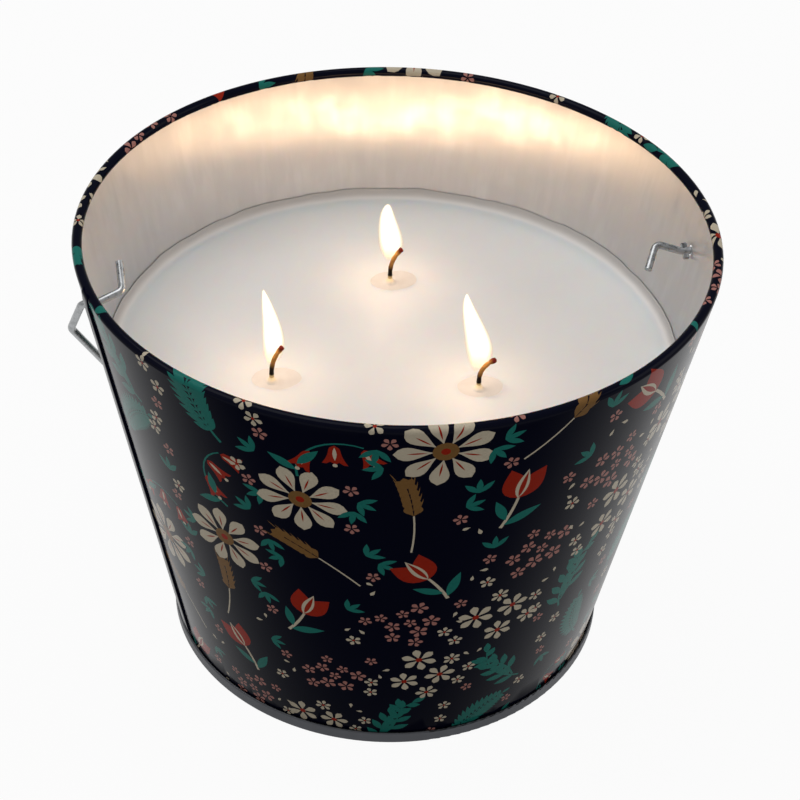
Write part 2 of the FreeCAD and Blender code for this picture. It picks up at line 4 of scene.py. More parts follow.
import bpy
import numpy as np
from bpy.props import FloatProperty, FloatVectorProperty, IntProperty, PointerProperty
from bpy.types import Operator, Panel, PropertyGroup
from mathutils import Matrix, Vector
from mathutils.geometry import delaunay_2d_cdt


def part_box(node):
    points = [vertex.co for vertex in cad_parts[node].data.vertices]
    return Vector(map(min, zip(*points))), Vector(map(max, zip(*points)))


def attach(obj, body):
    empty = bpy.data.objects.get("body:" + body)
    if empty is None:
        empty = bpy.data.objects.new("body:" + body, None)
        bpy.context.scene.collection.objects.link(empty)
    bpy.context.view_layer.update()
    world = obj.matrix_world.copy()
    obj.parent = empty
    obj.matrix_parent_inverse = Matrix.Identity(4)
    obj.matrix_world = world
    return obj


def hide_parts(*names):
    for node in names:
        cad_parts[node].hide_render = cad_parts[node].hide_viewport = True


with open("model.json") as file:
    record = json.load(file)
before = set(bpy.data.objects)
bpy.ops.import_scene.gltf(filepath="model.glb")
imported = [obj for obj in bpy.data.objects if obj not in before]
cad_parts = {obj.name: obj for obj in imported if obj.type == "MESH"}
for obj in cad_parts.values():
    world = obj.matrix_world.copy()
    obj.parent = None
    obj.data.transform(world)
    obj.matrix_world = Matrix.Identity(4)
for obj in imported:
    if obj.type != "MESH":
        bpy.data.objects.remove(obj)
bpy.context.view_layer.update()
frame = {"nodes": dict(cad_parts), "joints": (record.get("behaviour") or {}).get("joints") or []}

bl_info = {
    "name": "Citronella candle bucket",
    "version": (1, 0, 0),
    "blender": (4, 5, 0),
    "location": "3D View > Sidebar > Candle bucket",
    "description": "Dresses a tinplate candle bucket: printed wall, wax, wicks, flames and bail",
    "category": "Object",
}

MM = 0.001
WICKS = ("left", "right", "back")


# Sizes and colours that a user would change

def length(name, description, default):
    """A length in metres, shown in the scene's own unit."""
    return FloatProperty(name=name, description=description, default=default, precision=5,
                         subtype="DISTANCE", unit="LENGTH")


def angle(name, description, degrees):
    return FloatProperty(name=name, description=description, default=math.radians(degrees),
                         subtype="ANGLE", unit="ROTATION")


def colour(name, description, default):
    return FloatVectorProperty(name=name, description=description, default=default, size=3,
                               subtype="COLOR", min=0, max=1)


def amount(name, description, default):
    return FloatProperty(name=name, description=description, default=default)


def spot(name, description, default):
    return FloatVectorProperty(name=name, description=description, default=default, subtype="XYZ")


def top_of(node):
    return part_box(node)[1].z


class WallSettings(PropertyGroup):
    """The rolled tinplate wall, in the sizes of the frame's own wall."""

    rim_radius: length("Rim radius", "Outside radius of the rolled rim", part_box("bucket_wall")[1].y)
    height: length("Height", "Ground to the top of the rim", top_of("bucket_wall"))
    lean: angle("Lean", "Lean of the wall from upright", 10.28)
    sheet: length("Sheet", "Thickness of the tinplate", 0.25 * MM)
    curl_radius: length("Curl radius", "Outside radius of the rim curl", 1.3 * MM)
    curl_end: angle("Curl end", "Where the curl's raw edge ends, from outwards", 262)
    seam_top: length("Seam top", "Height of the double seam at the base", top_of("bucket_base"))
    hook_depth: length("Hook depth", "Double seam's top to the wall's own fold", 2.6 * MM)
    hole_radius: length("Hole radius", "Holes for the bail", 1.45 * MM)
    hole_height: length("Hole height", "Ground to the bail's pivot",
                        frame["joints"][0]["pos_m"][2])
    seam_turn: angle("Side seam", "Place of the side seam round the wall", 192.15)
    seam_width: length("Side seam width", "Width of the folded side seam", 5.0 * MM)
    seam_rise: length("Side seam rise", "Height of the side seam above the wall", 0.6 * MM)


class PrintSettings(PropertyGroup):
    """The pattern printed on the wall."""

    columns: IntProperty(name="Columns", description="Motifs in the lowest row", default=18, min=6)
    row_pitch: length("Row pitch", "Row to row of the motifs, up the wall", 23.05 * MM)
    first_row: length("First row", "Double seam to the lowest row of motifs", 2.8 * MM)
    wave: length("Wave", "Rise and fall of a row of motifs", 2 * MM)
    seam_gap: angle("Seam gap", "Side seam to the first motif", 10)
    motif_scale: amount("Motif scale", "Size of the motifs", 1.06)
    navy: colour("Navy", "Ground of the print", (0.0007, 0.0013, 0.0085))
    cream: colour("Cream", "Petals and stems", (0.520, 0.455, 0.345))
    teal: colour("Teal", "Leaves", (0.0130, 0.150, 0.124))
    rust: colour("Rust", "Tulips and bells", (0.290, 0.0180, 0.0075))
    ochre: colour("Ochre", "Grain ears and middles of flowers", (0.190, 0.098, 0.0320))
    pink: colour("Pink", "Small blossoms", (0.380, 0.170, 0.145))


class CandleSettings(PropertyGroup):
    """The wax, the wicks and their flames."""

    wax_level: length("Wax level", "Ground to the wax", top_of("wax"))
    wax_climb: length("Wax climb", "Rise of the wax where it meets the wall", 2.5 * MM)
    wax_edge: length("Wax edge", "Distance from the wall that the rise takes to die out", 0.75 * MM)
    wick_radius: length("Wick radius", "Half the thickness of the cotton wick", 0.62 * MM)
    pool_radius: length("Pool radius", "Melted wax round a wick", 6.9 * MM)
    pool_depth: length("Pool depth", "Melted wax below the set wax", 0.2 * MM)
    pool_climb: length("Pool climb", "Rise of the melted wax up the wick", 1.5 * MM)
    flame_stand_off: length("Flame stand-off", "Flame's middle behind its wick", 1.7 * MM)
    flame_power: amount("Flame power", "Light of one flame, in watts", 0.0078)
    heading: angle("Heading", "Direction that the wick tips lean to", -12.35)


class StageSettings(PropertyGroup):
    """The camera and the light."""

    camera_place: spot("Camera", "Place of the camera", (-0.0911, -0.4162, 0.4078))
    camera_target: spot("Target", "Point in the picture's middle", (0.00205, -0.00045, 0.06958))
    camera_roll: angle("Roll", "Turn of the camera round its own line of sight", 2.28)
    lens: amount("Lens", "Focal length in millimetres", 89.93)
    sky: amount("Sky", "Strength of the soft light all round", 0.38)
    key: amount("Key", "Power of the large lamp, in watts", 8.2)


# Meshes from whole arrays

def circle(steps):
    """Even angles round a circle, in radians."""
    return np.linspace(0, 2 * np.pi, steps, endpoint=False)


def tube_quads(rows, steps):
    """Quads between the rings of a tube whose points are numbered ring by ring."""
    row, step = np.indices((rows - 1, steps)).reshape(2, -1)
    here, after = row * steps + step, row * steps + (step + 1) % steps
    return np.stack([here, after, after + steps, here + steps], 1)


def tube(rings, ends, up, end_up=(0, 1), flip=False):
    """Points, faces and map of a closed tube: quads between its rings of points, and a fan from
    each end's own point. The map holds the share of a turn, and up, which is given for each
    ring or point and for the ends. flip turns the faces of a tube that runs inside out."""
    rows, steps = rings.shape[:2]
    quads = tube_quads(rows, steps)
    ring = np.arange(steps)
    after = np.roll(ring, -1)
    end, last = np.full(steps, rows * steps), (rows - 1) * steps
    fans = np.concatenate([np.stack([end, after, ring], 1),
                           np.stack([end + 1, ring + last, after + last], 1)])
    if flip:
        quads, fans = quads[:, ::-1], fans[:, [0, 2, 1]]
    up = np.broadcast_to(np.reshape(up, (rows, -1)), (rows, steps)).ravel()
    uv = np.stack([np.tile(ring / steps, rows), up], 1)
    uv = np.concatenate([uv, [[0, value] for value in end_up]])
    return np.concatenate([rings.reshape(-1, 3), ends]), [quads, fans], uv


def add_object(name, data):
    thing = bpy.data.objects.new(name, data)
    bpy.context.scene.collection.objects.link(thing)
    return thing


def make_piece(name, points, face_sets, materials, face_materials=None, normals=None, uv=None):
    """A mesh object from its points, its sets of faces, and what each point or face carries."""
    faces = [face for some in face_sets for face in np.asarray(some).tolist()]
    mesh = bpy.data.meshes.new(name)
    mesh.from_pydata(np.asarray(points, float).tolist(), [], faces)
    for material in materials:
        mesh.materials.append(material)
    if face_materials is not None:
        mesh.polygons.foreach_set("material_index", np.asarray(face_materials, np.int32))
    mesh.polygons.foreach_set("use_smooth", np.ones(len(faces), bool))
    if uv is not None:
        corners = np.empty(len(mesh.loops), np.int32)
        mesh.loops.foreach_get("vertex_index", corners)
        layer = mesh.uv_layers.new(name="along")
        layer.data.foreach_set("uv", np.asarray(uv, np.float32)[corners].ravel())
    if normals is not None:
        mesh.normals_split_custom_set_from_vertices(np.asarray(normals, float).tolist())
    mesh.update()
    return add_object(name, mesh)


def smooth_step(value, low, high):
    """0 below low, 1 above high, and a smooth rise between them."""
    share = np.clip((value - low) / (high - low), 0, 1)
    return share * share * (3 - 2 * share)


def waves(turn, seed, counts=(3, 5, 8, 13, 21)):
    """Uneven wave round a circle, about -1 to 1: a sum of sines whose counts fit the circle."""
    picks = np.random.default_rng(seed)
    phases = picks.uniform(0, 2 * np.pi, len(counts))
    total = sum(np.sin(count * turn + phase) / count ** 0.5 for count, phase in zip(counts, phases))
    return total / sum(1 / count ** 0.5 for count in counts)


# Materials

def new_material(name):
    material = bpy.data.materials.new(name)
    material.use_nodes = True
    tree = material.node_tree
    return material, tree, tree.nodes["Principled BSDF"]


def put(tree, socket, value):
    """Links another node's output to an input socket, or sets it to a fixed value."""
    if isinstance(value, bpy.types.NodeSocket):
        tree.links.new(value, socket)
    else:
        socket.default_value = value


def fill(tree, node, **sockets):
    """Values or links for a node's input sockets."""
    for name, value in sockets.items():
        put(tree, node.inputs[name.replace("_", " ")], value)


def add_node(tree, kind, settings=None, **sockets):
    """A node with its settings, and values or links for its input sockets."""
    node = tree.nodes.new(kind)
    for name, value in (settings or {}).items():
        setattr(node, name, value)
    fill(tree, node, **sockets)
    return node


def object_place(tree, scale=(1, 1, 1)):
    place = add_node(tree, "ShaderNodeTexCoord").outputs["Object"]
    return add_node(tree, "ShaderNodeMapping", Vector=place, Scale=scale).outputs["Vector"]


def map_height(tree):
    """Second coordinate of a piece's own map."""
    along = add_node(tree, "ShaderNodeTexCoord").outputs["UV"]
    return add_node(tree, "ShaderNodeSeparateXYZ", Vector=along).outputs["Y"]


def noise(tree, place, scale, detail=3.0):
    return add_node(tree, "ShaderNodeTexNoise", Vector=place, Scale=scale, Detail=detail,
                    Roughness=0.55).outputs["Fac"]


def spread(tree, value, low, high, low_out=0.0, high_out=1.0):
    """Maps the range low to high of a value onto another range, smoothly and clamped."""
    return add_node(tree, "ShaderNodeMapRange", {"interpolation_type": "SMOOTHSTEP"}, Value=value,
                    From_Min=low, From_Max=high, To_Min=low_out, To_Max=high_out).outputs["Result"]


def mottle(tree, place, scale, detail=3.0, low_out=0.0, high_out=1.0):
    """Noise with its usual range spread over another one."""
    return spread(tree, noise(tree, place, scale, detail), 0.3, 0.7, low_out, high_out)


def maths(tree, operation, *values):
    node = add_node(tree, "ShaderNodeMath", {"operation": operation})
    for socket, value in zip(node.inputs, values):
        put(tree, socket, value)
    return node.outputs[0]


def blend(tree, share, first, second, way="MIX"):
    """Mix of two colours, each a socket or three numbers."""
    node = add_node(tree, "ShaderNodeMix", {"data_type": "RGBA", "blend_type": way})
    put(tree, node.inputs[0], share)
    for index, value in ((6, first), (7, second)):
        linked = isinstance(value, bpy.types.NodeSocket)
        put(tree, node.inputs[index], value if linked else (*value, 1))
    return node.outputs[2]


def bump(tree, height, strength, distance=0.0001):
    return add_node(tree, "ShaderNodeBump", Height=height, Strength=strength,
                    Distance=distance).outputs["Normal"]


def tint(base, share):
    """A colour made lighter or darker."""
    return [min(1, part * share) for part in base]


def printed_lacquer(name, base):
    """Litho print under lacquer: a faint grain in the ink, and a gloss that grows towards
    grazing angles. The height in its map is the gloss of the rolled rim."""
    material, tree, shader = new_material(name)
    place = object_place(tree)
    ink = blend(tree, mottle(tree, place, 2400), tint(base, 0.88), tint(base, 1.08))
    facing = add_node(tree, "ShaderNodeLayerWeight", Blend=0.5).outputs["Facing"]
    gloss = spread(tree, facing, 0.42, 0.90, 0.02, 0.68)
    normal = bump(tree, noise(tree, place, 700, 2), 0.10)
    fill(tree, shader, Roughness=0.4, Specular_IOR_Level=0.0, Normal=normal, Coat_Normal=normal,
         Base_Color=blend(tree, mottle(tree, place, 60), ink, tint(base, 0.94)),
         Coat_Weight=maths(tree, "MAXIMUM", gloss, map_height(tree)),
         Coat_Roughness=mottle(tree, place, 35, 4, 0.10, 0.17))
    return material


def tinplate(name, base, roughness, streaks, brushed=0.0):
    """Bare tinplate: rolling lines stretched along streaks, and a cloudy tin coat. Where it is
    brushed, its upright lines spread a highlight sideways."""
    material, tree, shader = new_material(name)
    lines = noise(tree, object_place(tree, streaks), 300, 4)
    cloud = noise(tree, object_place(tree), 90, 4)
    shade = blend(tree, spread(tree, lines, 0.3, 0.7), tint(base, 0.89), base)
    fill(tree, shader, Metallic=1.0, Normal=bump(tree, lines, 0.12),
         Base_Color=blend(tree, spread(tree, cloud, 0.25, 0.75), shade, tint(base, 0.94)),
         Roughness=spread(tree, cloud, 0.25, 0.75, roughness - 0.05, roughness + 0.07))
    if brushed:
        around = add_node(tree, "ShaderNodeTangent", {"direction_type": "RADIAL", "axis": "Z"})
        fill(tree, shader, Tangent=around.outputs["Tangent"], Anisotropic=brushed)
    return material


def set_wax():
    """Poured wax: off-white and faintly cloudy, with a painted shade: it turns grey where it thins out
    up the wall. The height in its map runs from 0 to 1 over the last millimetres to the wall."""
    material, tree, shader = new_material("poured_wax")
    place = object_place(tree)
    edge = map_height(tree)
    shade = blend(tree, mottle(tree, place, 22, 4), (0.80, 0.785, 0.77), (0.77, 0.755, 0.74))
    fill(tree, shader, Specular_IOR_Level=0.25, Subsurface_Scale=0.012,
         Subsurface_Radius=(1.0, 0.58, 0.36),
         Subsurface_Weight=spread(tree, edge, 0.0, 0.7, 0.8, 0.0),
         # Painted shade: the colour turns grey over the last of the wax's rise to the wall
         Base_Color=blend(tree, spread(tree, edge, 0.50, 0.95), shade, (0.46, 0.465, 0.47)),
         Roughness=mottle(tree, place, 160, 3, 0.42, 0.55),
         Normal=bump(tree, noise(tree, place, 240, 4), 0.1, 0.0004))
    return material


def melted_wax():
    """Melted wax: wet, and a little warmer than the set wax round it. Where it climbs the wick it has a
    painted glow of the flame's light, in a yellow colour and a faint emission. The height in its map is
    1 at the wick."""
    material, tree, shader = new_material("melted_wax")
    near = map_height(tree)
    cloud = mottle(tree, object_place(tree), 380)
    shade = blend(tree, cloud, (0.72, 0.68, 0.635), (0.69, 0.645, 0.60))
    fill(tree, shader, Roughness=0.16, IOR=1.44, Emission_Strength=1.0,
         # Painted glow: the colour turns yellow towards the wick
         Base_Color=blend(tree, spread(tree, near, 0.1, 0.9), shade, (0.82, 0.68, 0.46)),
         # Painted glow: a warm emission towards the wick that stands for the flame's light
         Emission_Color=blend(tree, spread(tree, near, 0.02, 0.6), (0, 0, 0), (0.30, 0.20, 0.09)))
    return material


def charred_cotton():
    """Braided wick: waxed and pale in the candle with a painted yellow glow there, black where it
    leaves it, brown-orange towards the tip from painted flame light, and an ember glowing at the tip.
    The height in its map runs from 0 to 1 along the bare wick."""
    material, tree, shader = new_material("charred_cotton")
    height = map_height(tree)
    ramp = add_node(tree, "ShaderNodeValToRGB", Fac=height)
    # The brown-orange from 0.56 to 0.88 is painted flame light on the black char
    stops = [(0.0, (0.74, 0.60, 0.38)), (0.16, (0.60, 0.44, 0.22)), (0.20, (0.006, 0.004, 0.003)),
             (0.38, (0.012, 0.007, 0.004)), (0.56, (0.38, 0.18, 0.045)), (0.88, (0.50, 0.24, 0.060)),
             (0.97, (0.060, 0.006, 0.004))]
    for index in (0, -1):
        ramp.color_ramp.elements[index].color = (*stops[index][1], 1)
    for position, shade in stops[1:]:
        ramp.color_ramp.elements.new(position).color = (*shade, 1)
    fibre = mottle(tree, object_place(tree), 2600)
    ember = blend(tree, spread(tree, height, 0.92, 0.99), (0, 0, 0), (0.07, 0.004, 0.003))
    grey = (0.5, 0.5, 0.5)
    fill(tree, shader, Roughness=0.8, Specular_IOR_Level=0.1, Emission_Strength=1.0,
         Base_Color=blend(tree, fibre, ramp.outputs["Color"], grey, "SOFT_LIGHT"),
         # Painted glow of the flame's light on the pale foot; above it only the ember at the tip glows
         Emission_Color=blend(tree, spread(tree, height, 0.10, 0.20), (0.10, 0.065, 0.02), ember),
         Normal=bump(tree, fibre, 0.4, 0.0002))
    return material


# Glow of a flame near its foot and above it, each at the flame's edge and at its heart
FLAME_FOOT = np.array([(1.0, 0.64, 0.30), (1.0, 0.84, 0.46)])
FLAME_BODY = np.array([(1.0, 0.80, 0.52), (1.0, 0.97, 0.86)])


def flame_glow(name, heart, opacity):
    """One layer of a flame, from 0 at its edge to 1 at its heart, more see-through towards its
    foot. The height in its map runs from 0 at the foot to 1 at the tip."""
    material, tree, shader = new_material(name)
    height = map_height(tree)
    foot, body = (((1 - heart) * edge + heart * core).tolist()
                  for edge, core in (FLAME_FOOT, FLAME_BODY))
    fill(tree, shader, Base_Color=(0, 0, 0, 1), Specular_IOR_Level=0.0,
         Emission_Color=blend(tree, spread(tree, height, 0.10, 0.45), foot, body),
         Emission_Strength=1.0 + 1.4 * heart,
         Alpha=spread(tree, height, 0.03, 0.45, 0.0, opacity))
    material.cycles.emission_sampling = "NONE"
    return material


def drawn_wire():
    """Tinned wire: bright metal with a painted reflection, a mottling of darker patches in its colour.
    """
    material, tree, shader = new_material("tinned_wire")
    place = object_place(tree)
    cloud = noise(tree, place, 700, 4)
    # Painted reflection: darker patches in the metal's colour
    shade = blend(tree, spread(tree, cloud, 0.36, 0.64), (0.30, 0.31, 0.315), (0.45, 0.46, 0.47))
    fill(tree, shader, Metallic=1.0, Base_Color=shade,
         Roughness=spread(tree, cloud, 0.3, 0.7, 0.24, 0.40),
         Normal=bump(tree, noise(tree, place, 1500), 0.15))
    return material


def soft_matter(name, base, grain, roughness):
    """Foam or dried compound: a matt, pitted, slightly uneven colour."""
    material, tree, shader = new_material(name)
    pits = noise(tree, object_place(tree), grain, 4)
    fill(tree, shader, Roughness=roughness, Normal=bump(tree, pits, 0.5, 0.0003),
         Base_Color=blend(tree, spread(tree, pits, 0.3, 0.7), tint(base, 0.82), base))
    return material


def dress_node(node, material):
    """Gives a piece of the frame its finish."""
    slots = frame["nodes"][node].data.materials
    slots.clear()
    slots.append(material)


# The printed motifs, in millimetres about their middles. A field is (colour, outline).

def turn_about(points, degrees, origin):
    """Points turned by an angle and moved so that (0, 0) comes to the origin."""
    turn = math.radians(degrees)
    matrix = np.array([[math.cos(turn), math.sin(turn)], [-math.sin(turn), math.cos(turn)]])
    return points @ matrix + np.asarray(origin)


def pointed(share, half, length, heading, origin):
    """Outline along a heading, from half its width at shares of its length."""
    along = np.concatenate([[0], share, [1], share[::-1]]) * length
    across = np.concatenate([[0], half, [0], -half[::-1]])
    return turn_about(np.stack([along, across], 1), heading, origin)


def leaf(origin, heading, length, width, belly=0.5, steps=8):
    """Leaf along its heading: half its width is the sine of a power of the way along, with the
    power chosen so that the widest place is at belly."""
    share = np.linspace(0, 1, steps + 1)[1:-1]
    half = width / 2 * np.sin(np.pi * share ** (math.log(0.5) / math.log(belly)))
    return pointed(share, half, length, heading, origin)


def petal(origin, heading, length, width, steps=8):
    """Petal along its heading, with a narrow foot and a full round end."""
    share = np.linspace(0, 1, steps + 1)[1:-1]
    half = width / 2 * np.sin(np.pi * share ** 1.7) ** 0.75
    return pointed(share, half, length, heading, origin)


def bell(origin, heading, length, width):
    """Bell that hangs along its heading: it flares as a power of the way down, and its lip
    has three scallops."""
    share = np.linspace(0, 1, 9)[1:]
    half = width / 2 * (0.42 + 0.58 * share ** 2.2) * np.minimum(1, (share * 6) ** 0.5)
    lip = np.linspace(1, -1, 7)[1:-1]
    scallop = 1 - 0.12 * np.abs(np.sin(lip * np.pi * 1.5))
    along = np.concatenate([[0], share, scallop, share[::-1]]) * length
    across = np.concatenate([[0], half, lip * width / 2, -half[::-1]])
    return turn_about(np.stack([along, across], 1), heading, origin)


def disc(origin, radius, steps):
    turn = circle(steps)
    return np.stack([np.cos(turn), np.sin(turn)], 1) * radius + np.asarray(origin)


def stem(origin, heading, length, bend, steps):
    """Points along an arc that turns by bend over its length, and the headings there."""
    headings = heading + bend * np.linspace(0, 1, steps)
    middles = np.radians((headings[1:] + headings[:-1]) / 2)
    moves = np.stack([np.cos(middles), np.sin(middles)], 1) * length / (steps - 1)
    return np.concatenate([[[0, 0]], np.cumsum(moves, 0)]) + np.asarray(origin), headings


def ribbon(points, headings, start_width, end_width):
    """Strip along a stem, as wide as the widths given at its ends."""
    sideways = np.stack([-np.sin(np.radians(headings)), np.cos(np.radians(headings))], 1)
    half = np.linspace(start_width, end_width, len(points))[:, None] / 2
    return np.concatenate([points + sideways * half, (points - sideways * half)[::-1]])


def towards(origin, heading, distance):
    return (origin[0] + distance * math.cos(math.radians(heading)),
            origin[1] + distance * math.sin(math.radians(heading)))


def blossom(origin, radius, turn, shade, middle, count):
    """Open flower: petals round a disc."""
    fields = []
    for index in range(count):
        heading = 360 * index / count + turn
        foot = towards(origin, heading, 0.12 * radius)
        fields.append((shade, petal(foot, heading, radius * 0.9, radius * 2.9 / count, 6)))
    if middle:
        fields.append((middle, disc(origin, radius * 0.2, 8)))
    return fields


def tulip():
    points, headings = stem((0, -11), 90, 10.5, 16, 8)
    foot = points[-1] - (0, 0.6)
    heading = headings[-1]
    return [
        ("cream", ribbon(points, headings, 0.9, 0.7)),
        ("teal", leaf((0.2, -10), 50, 9.5, 2.7, 0.45)),
        ("teal", leaf((-0.2, -8.4), 138, 8, 2.4, 0.45)),
        ("rust", leaf(foot, heading + 24, 10.5, 6, 0.42)),
        ("rust", leaf(foot, heading - 24, 10.5, 6, 0.42)),
        ("cream", leaf(foot, heading, 9.4, 3, 0.42)),
        ("rust", leaf(foot + (0, 0.4), heading, 8.3, 1.3, 0.42)),
    ]


def daisy():
    fields = []
    for index in range(9):
        heading = 40 * index + 8
        fields.append(("cream", petal(towards((0, 0), heading, 2.3), heading, 8.2, 4.1)))
        fields.append(("rust", leaf(towards((0, 0), heading, 3.6), heading, 4.2, 0.45, steps=4)))
    return fields + [("ochre", disc((0, 0), 2.7, 16)), ("rust", disc((0, 0), 1, 10))]


def fern():
    points, headings = stem((0, -11), 108, 23, -50, 15)
    fields = [("teal", ribbon(points, headings, 0.75, 0.3))]
    for index in range(2, 14):
        reach = 5.4 * math.sin(math.pi * (index / 15) ** 0.8) + 1.2
        for side in (1, -1):
            blade = leaf(points[index], headings[index] + side * 52, reach, 1.75, 0.45, 6)
            fields.append(("teal", blade))
    return fields + [("teal", leaf(points[-1], headings[-1], 3.2, 1.3, steps=6))]


def ear():
    points, headings = stem((0, -12), 84, 13, 12, 6)
    fields = [("cream", ribbon(points, headings, 0.45, 0.4))]
    points, headings = stem(points[-1], headings[-1], 9.5, 10, 6)
    for place, heading in zip(points, headings):
        for side in (1, -1):
            beard = towards(place, heading + side * 30, 3)
            fields.append(("ochre", petal(place, heading + side * 30, 3.6, 1.9, 6)))
            fields.append(("ochre", leaf(beard, heading + side * 16, 3.4, 0.3, steps=3)))
    return fields + [("ochre", petal(points[-1], headings[-1], 3.8, 1.9, 6))]


def bells():
    points, headings = stem((-4, -11), 100, 22, -120, 12)
    fields = [("teal", ribbon(points, headings, 0.6, 0.35))]
    for index, reach in ((5, 6.4), (8, 5.8), (11, 5.2)):
        top = points[index] - (0, 0.5)
        heading = -90 + (index - 8) * 8
        fields.append(("rust", bell(top, heading, reach, 5.4)))
        fields.append(("cream", leaf(top - (0, 0.6), heading, reach * 0.7, 0.9, steps=4)))
        fields.append(("cream", disc(towards(top, heading, reach + 0.3), 0.55, 8)))
    for index, heading in ((1, 150), (2, 48)):
        fields.append(("teal", leaf(points[index], heading, 7, 2.2, 0.45)))
    return fields


def spray():
    places = [(-4.8, 4.8, 5), (5.2, 2, 4.4), (-1.5, -5.8, 4.2), (7.5, -6.8, 3.2), (3.5, 9.4, 2.6)]
    fields = []
    for index, (x, y, radius) in enumerate(places):
        fields += blossom((x, y), radius, 20 + 27 * index, "cream", "rust", 6)
    return fields


def twig():
    fields = []
    branches = (((-3, -11), 110, -62, 24, 11), ((-3.4, -8), 62, 46, 17, 8))
    for foot, heading, bend, reach, leaves in branches:
        points, headings = stem(foot, heading, reach, bend, leaves + 1)
        fields.append(("teal", ribbon(points, headings, 0.7, 0.35)))
        for index in range(1, leaves):
            side = 1 if index % 2 else -1
            blade = leaf(points[index], headings[index] + side * 38, 6.8 - 0.25 * index, 2.4)
            fields.append(("teal", blade))
        fields.append(("teal", leaf(points[-1], headings[-1], 5, 2.2)))
    return fields


def berries():
    fields = []
    for index in range(9):
        turn = index * 137.5
        place = towards((0, 0), turn, 2.9 * math.sqrt(index + 0.35))
        fields += blossom(place, 1.75 + 0.35 * (index % 3), turn, "pink", None, 5)
    return fields


def cream_dot():
    return blossom((0, 0), 2.1, 10, "cream", "rust", 5)


def pink_dot():
    return blossom((0, 0), 1.8, 30, "pink", None, 5)


def bud_pair():
    return [("cream", petal((-1.1, -0.6), 140, 2.3, 1.1, 5)), ("cream", petal((1, -0.4), 48, 2, 1, 5))]


def sprig():
    return [("teal", leaf((0, -2), heading, 4.6, 1.5, steps=6)) for heading in (48, 92, 138)]


MOTIFS = (tulip, twig, daisy, berries, fern, ear, spray, bells)
FILLERS = (cream_dot, pink_dot, sprig, bud_pair, cream_dot, sprig, pink_dot)
INKS = ("navy", "cream", "teal", "rust", "ochre", "pink")

# Radius of the wall, in millimetres, where the motifs have their own size, the step of their
# turns in degrees, and the heights of the small ones from their row
MOTIF_RADIUS = 75
MOTIF_TURN = 12
FILLER_LIFTS = (-8, -2.5, 3, 8.5)


class Wall:
    """The wall as a sheet: a place on it is (degrees from the side seam, millimetres up the
    slant from the double seam), running on over the rim curl and down into the fold."""

    def __init__(self, settings):
        self.lean = settings.lean
        self.curl = settings.curl_radius / MM
        self.seam_top = settings.seam_top / MM
        self.seam_turn = math.degrees(settings.seam_turn)
        self.curl_x = settings.rim_radius / MM - self.curl
        self.curl_z = settings.height / MM - self.curl
        rim_z = self.curl_z - self.curl * math.sin(self.lean)
        self.length = (rim_z - self.seam_top) / math.cos(self.lean)
        rim_x = self.curl_x + self.curl * math.cos(self.lean)
        self.foot = rim_x - self.length * math.sin(self.lean)
        self.end = self.length + self.curl * (settings.curl_end + self.lean)
        self.low = -settings.hook_depth / MM

    def radius_at(self, height):
        """Outside radius of the cone at a height, both in millimetres."""
        return self.foot + (height - self.seam_top) * math.tan(self.lean)

    def section(self, up):
        """Radius, height and outward direction: an upright fold below 0, the cone above it,
        and then an arc round the curl's centre."""
        cone = np.clip(up, 0, self.length)
        turn = np.maximum(up - self.length, 0) / self.curl - self.lean
        curled = up > self.length
        radius = self.foot + cone * math.sin(self.lean)
        height = self.seam_top + np.minimum(up, 0) + cone * math.cos(self.lean)
        radius = np.where(curled, self.curl_x + self.curl * np.cos(turn), radius)
        height = np.where(curled, self.curl_z + self.curl * np.sin(turn), height)
        turn = np.where(up < 0, 0, turn)
        return radius, height, np.cos(turn), np.sin(turn)

    def points(self, places, depth=0.0):
        """Points in metres at a depth below the outer face, and the face's directions."""
        radius, height, out, rise = self.section(places[:, 1])
        heading = np.radians(places[:, 0] + self.seam_turn)
        radius = radius - out * depth
        x = radius * np.cos(heading)
        y = radius * np.sin(heading)
        normals = np.stack([out * np.cos(heading), out * np.sin(heading), rise], 1)
        return np.stack([x, y, height - rise * depth], 1) * MM, normals

    def hole(self, heading, radius, height):
        """Outline of a hole drilled level along X, at a heading of 0 or 180 degrees."""
        turn = circle(28)
        level = height + radius * np.sin(turn)
        across = np.degrees(np.arcsin(radius * np.cos(turn) / self.radius_at(level)))
        side = 1 if heading == 0 else -1
        degrees = (heading - self.seam_turn) % 360 + side * across
        return np.stack([degrees, (level - self.seam_top) / math.cos(self.lean)], 1)


def print_fields(wall, settings):
    """Every field of colour on the wall, lowest layer first: rows of motifs whose kinds, turns
    and heights follow from their row and column, with blossoms, buds and sprigs between them."""
    fields = []

    def stamp(motif, degrees, up, turn):
        radius = wall.foot + up * math.sin(wall.lean)
        scale = settings.motif_scale * radius / MOTIF_RADIUS
        for ink, outline in motif():
            placed = turn_about(outline * scale, turn, (0, up))
            around = wall.foot + placed[:, 1] * math.sin(wall.lean)
            placed[:, 0] = degrees + np.degrees(placed[:, 0] / around)
            fields.append((ink, placed))

    pitch = settings.row_pitch / MM
    for row in range(round(wall.length / pitch) + 1):
        count = settings.columns - row % 2
        first = math.degrees(settings.seam_gap) + row % 2
        step = (360 - 2 * first) / (count - 1)
        for column in range(count):
            degrees = first + step * column
            level = settings.first_row / MM + pitch * row
            up = level + settings.wave / MM * math.sin(column * 2.4 + row)
            turn = ((column * 97 + row * 61) % 9 - 4) * MOTIF_TURN
            stamp(MOTIFS[(column * 3 + row * 5) % len(MOTIFS)], degrees, up, turn)
            if column == count - 1:
                continue
            for index, lift in enumerate(FILLER_LIFTS):
                filler = FILLERS[(column * 4 + row * 3 + index * 3) % len(FILLERS)]
                sway = 1.6 * math.sin(column * 5 + index * 2.1)
                lift = level + lift + 1.2 * math.sin(column + index)
                stamp(filler, degrees + step / 2 + sway, lift, column * 50 + index * 70)
    return fields


